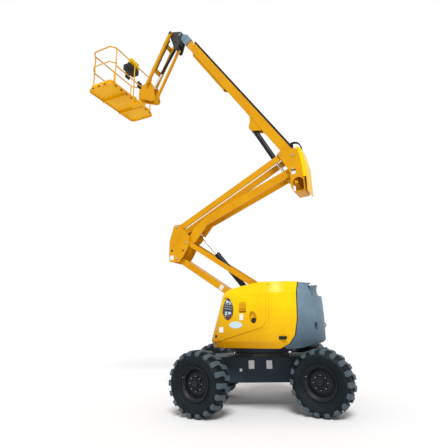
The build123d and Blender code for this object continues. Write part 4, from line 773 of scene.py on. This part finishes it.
def makeCamera(s):
    data = bpy.data.cameras.new("camera")
    data.lens = s["lens"]
    data.sensor_width = 36.0
    data.clip_end = 200.0
    camera = bpy.data.objects.new("camera", data)
    bpy.context.scene.collection.objects.link(camera)
    aim = Vector(s["look"]).to_track_quat("-Z", "Y").to_matrix().to_4x4()
    camera.matrix_world = Matrix.Translation(s["eye"]) @ aim @ Matrix.Rotation(s["roll"], 4, "Z")
    bpy.context.scene.camera = camera


def whiteSeen(tree):
    # 1 where the sky is seen directly, in a reflection or through something, and 0 where it only lights
    path = tree.nodes.new("ShaderNodeLightPath")
    seen = tree.nodes.new("ShaderNodeMath")
    seen.operation = "MAXIMUM"
    tree.links.new(path.outputs["Is Camera Ray"], seen.inputs[0])
    tree.links.new(path.outputs["Is Glossy Ray"], seen.inputs[1])
    both = tree.nodes.new("ShaderNodeMath")
    both.operation = "MAXIMUM"
    tree.links.new(seen.outputs[0], both.inputs[0])
    tree.links.new(path.outputs["Is Transmission Ray"], both.inputs[1])
    return both.outputs[0]


def makeWorld(s):
    world = bpy.data.worlds.new("studioSky")
    bpy.context.scene.world = world
    world.use_nodes = True
    tree = world.node_tree
    lit = tree.nodes["Background"]
    lit.inputs["Color"].default_value = (1.0, 1.0, 1.0, 1.0)
    lit.inputs["Strength"].default_value = s["skyStrength"]
    shown = tree.nodes.new("ShaderNodeBackground")
    shown.inputs["Color"].default_value = (1.0, 1.0, 1.0, 1.0)
    shown.inputs["Strength"].default_value = 1.0
    mix = tree.nodes.new("ShaderNodeMixShader")
    tree.links.new(whiteSeen(tree), mix.inputs[0])
    tree.links.new(lit.outputs[0], mix.inputs[1])
    tree.links.new(shown.outputs[0], mix.inputs[2])
    tree.links.new(mix.outputs[0], tree.nodes["World Output"].inputs["Surface"])


def makeFloor(s):
    bm = bmesh.new()
    bmesh.ops.create_grid(bm, x_segments=1, y_segments=1, size=s["floorHalf"])
    mesh = bpy.data.meshes.new("floor")
    bm.to_mesh(mesh)
    bm.free()
    floor = bpy.data.objects.new("floor", mesh)
    bpy.context.scene.collection.objects.link(floor)
    mat, _ = newMaterial("floorPale", s["floorColour"], 0.9, specular=0.1)
    mesh.materials.append(mat)


def makeLamps(s):
    sun = bpy.data.lights.new("key", "SUN")
    sun.energy = s["sun"]
    sun.angle = math.radians(s["sunAngle"])
    key = bpy.data.objects.new("key", sun)
    key.rotation_euler = [math.radians(a) for a in s["sunTurn"]]
    bpy.context.scene.collection.objects.link(key)


makeCamera(studio)
makeWorld(studio)
makeFloor(studio)
makeLamps(studio)
bpy.context.scene.view_settings.view_transform = "Standard"
print("studio set")
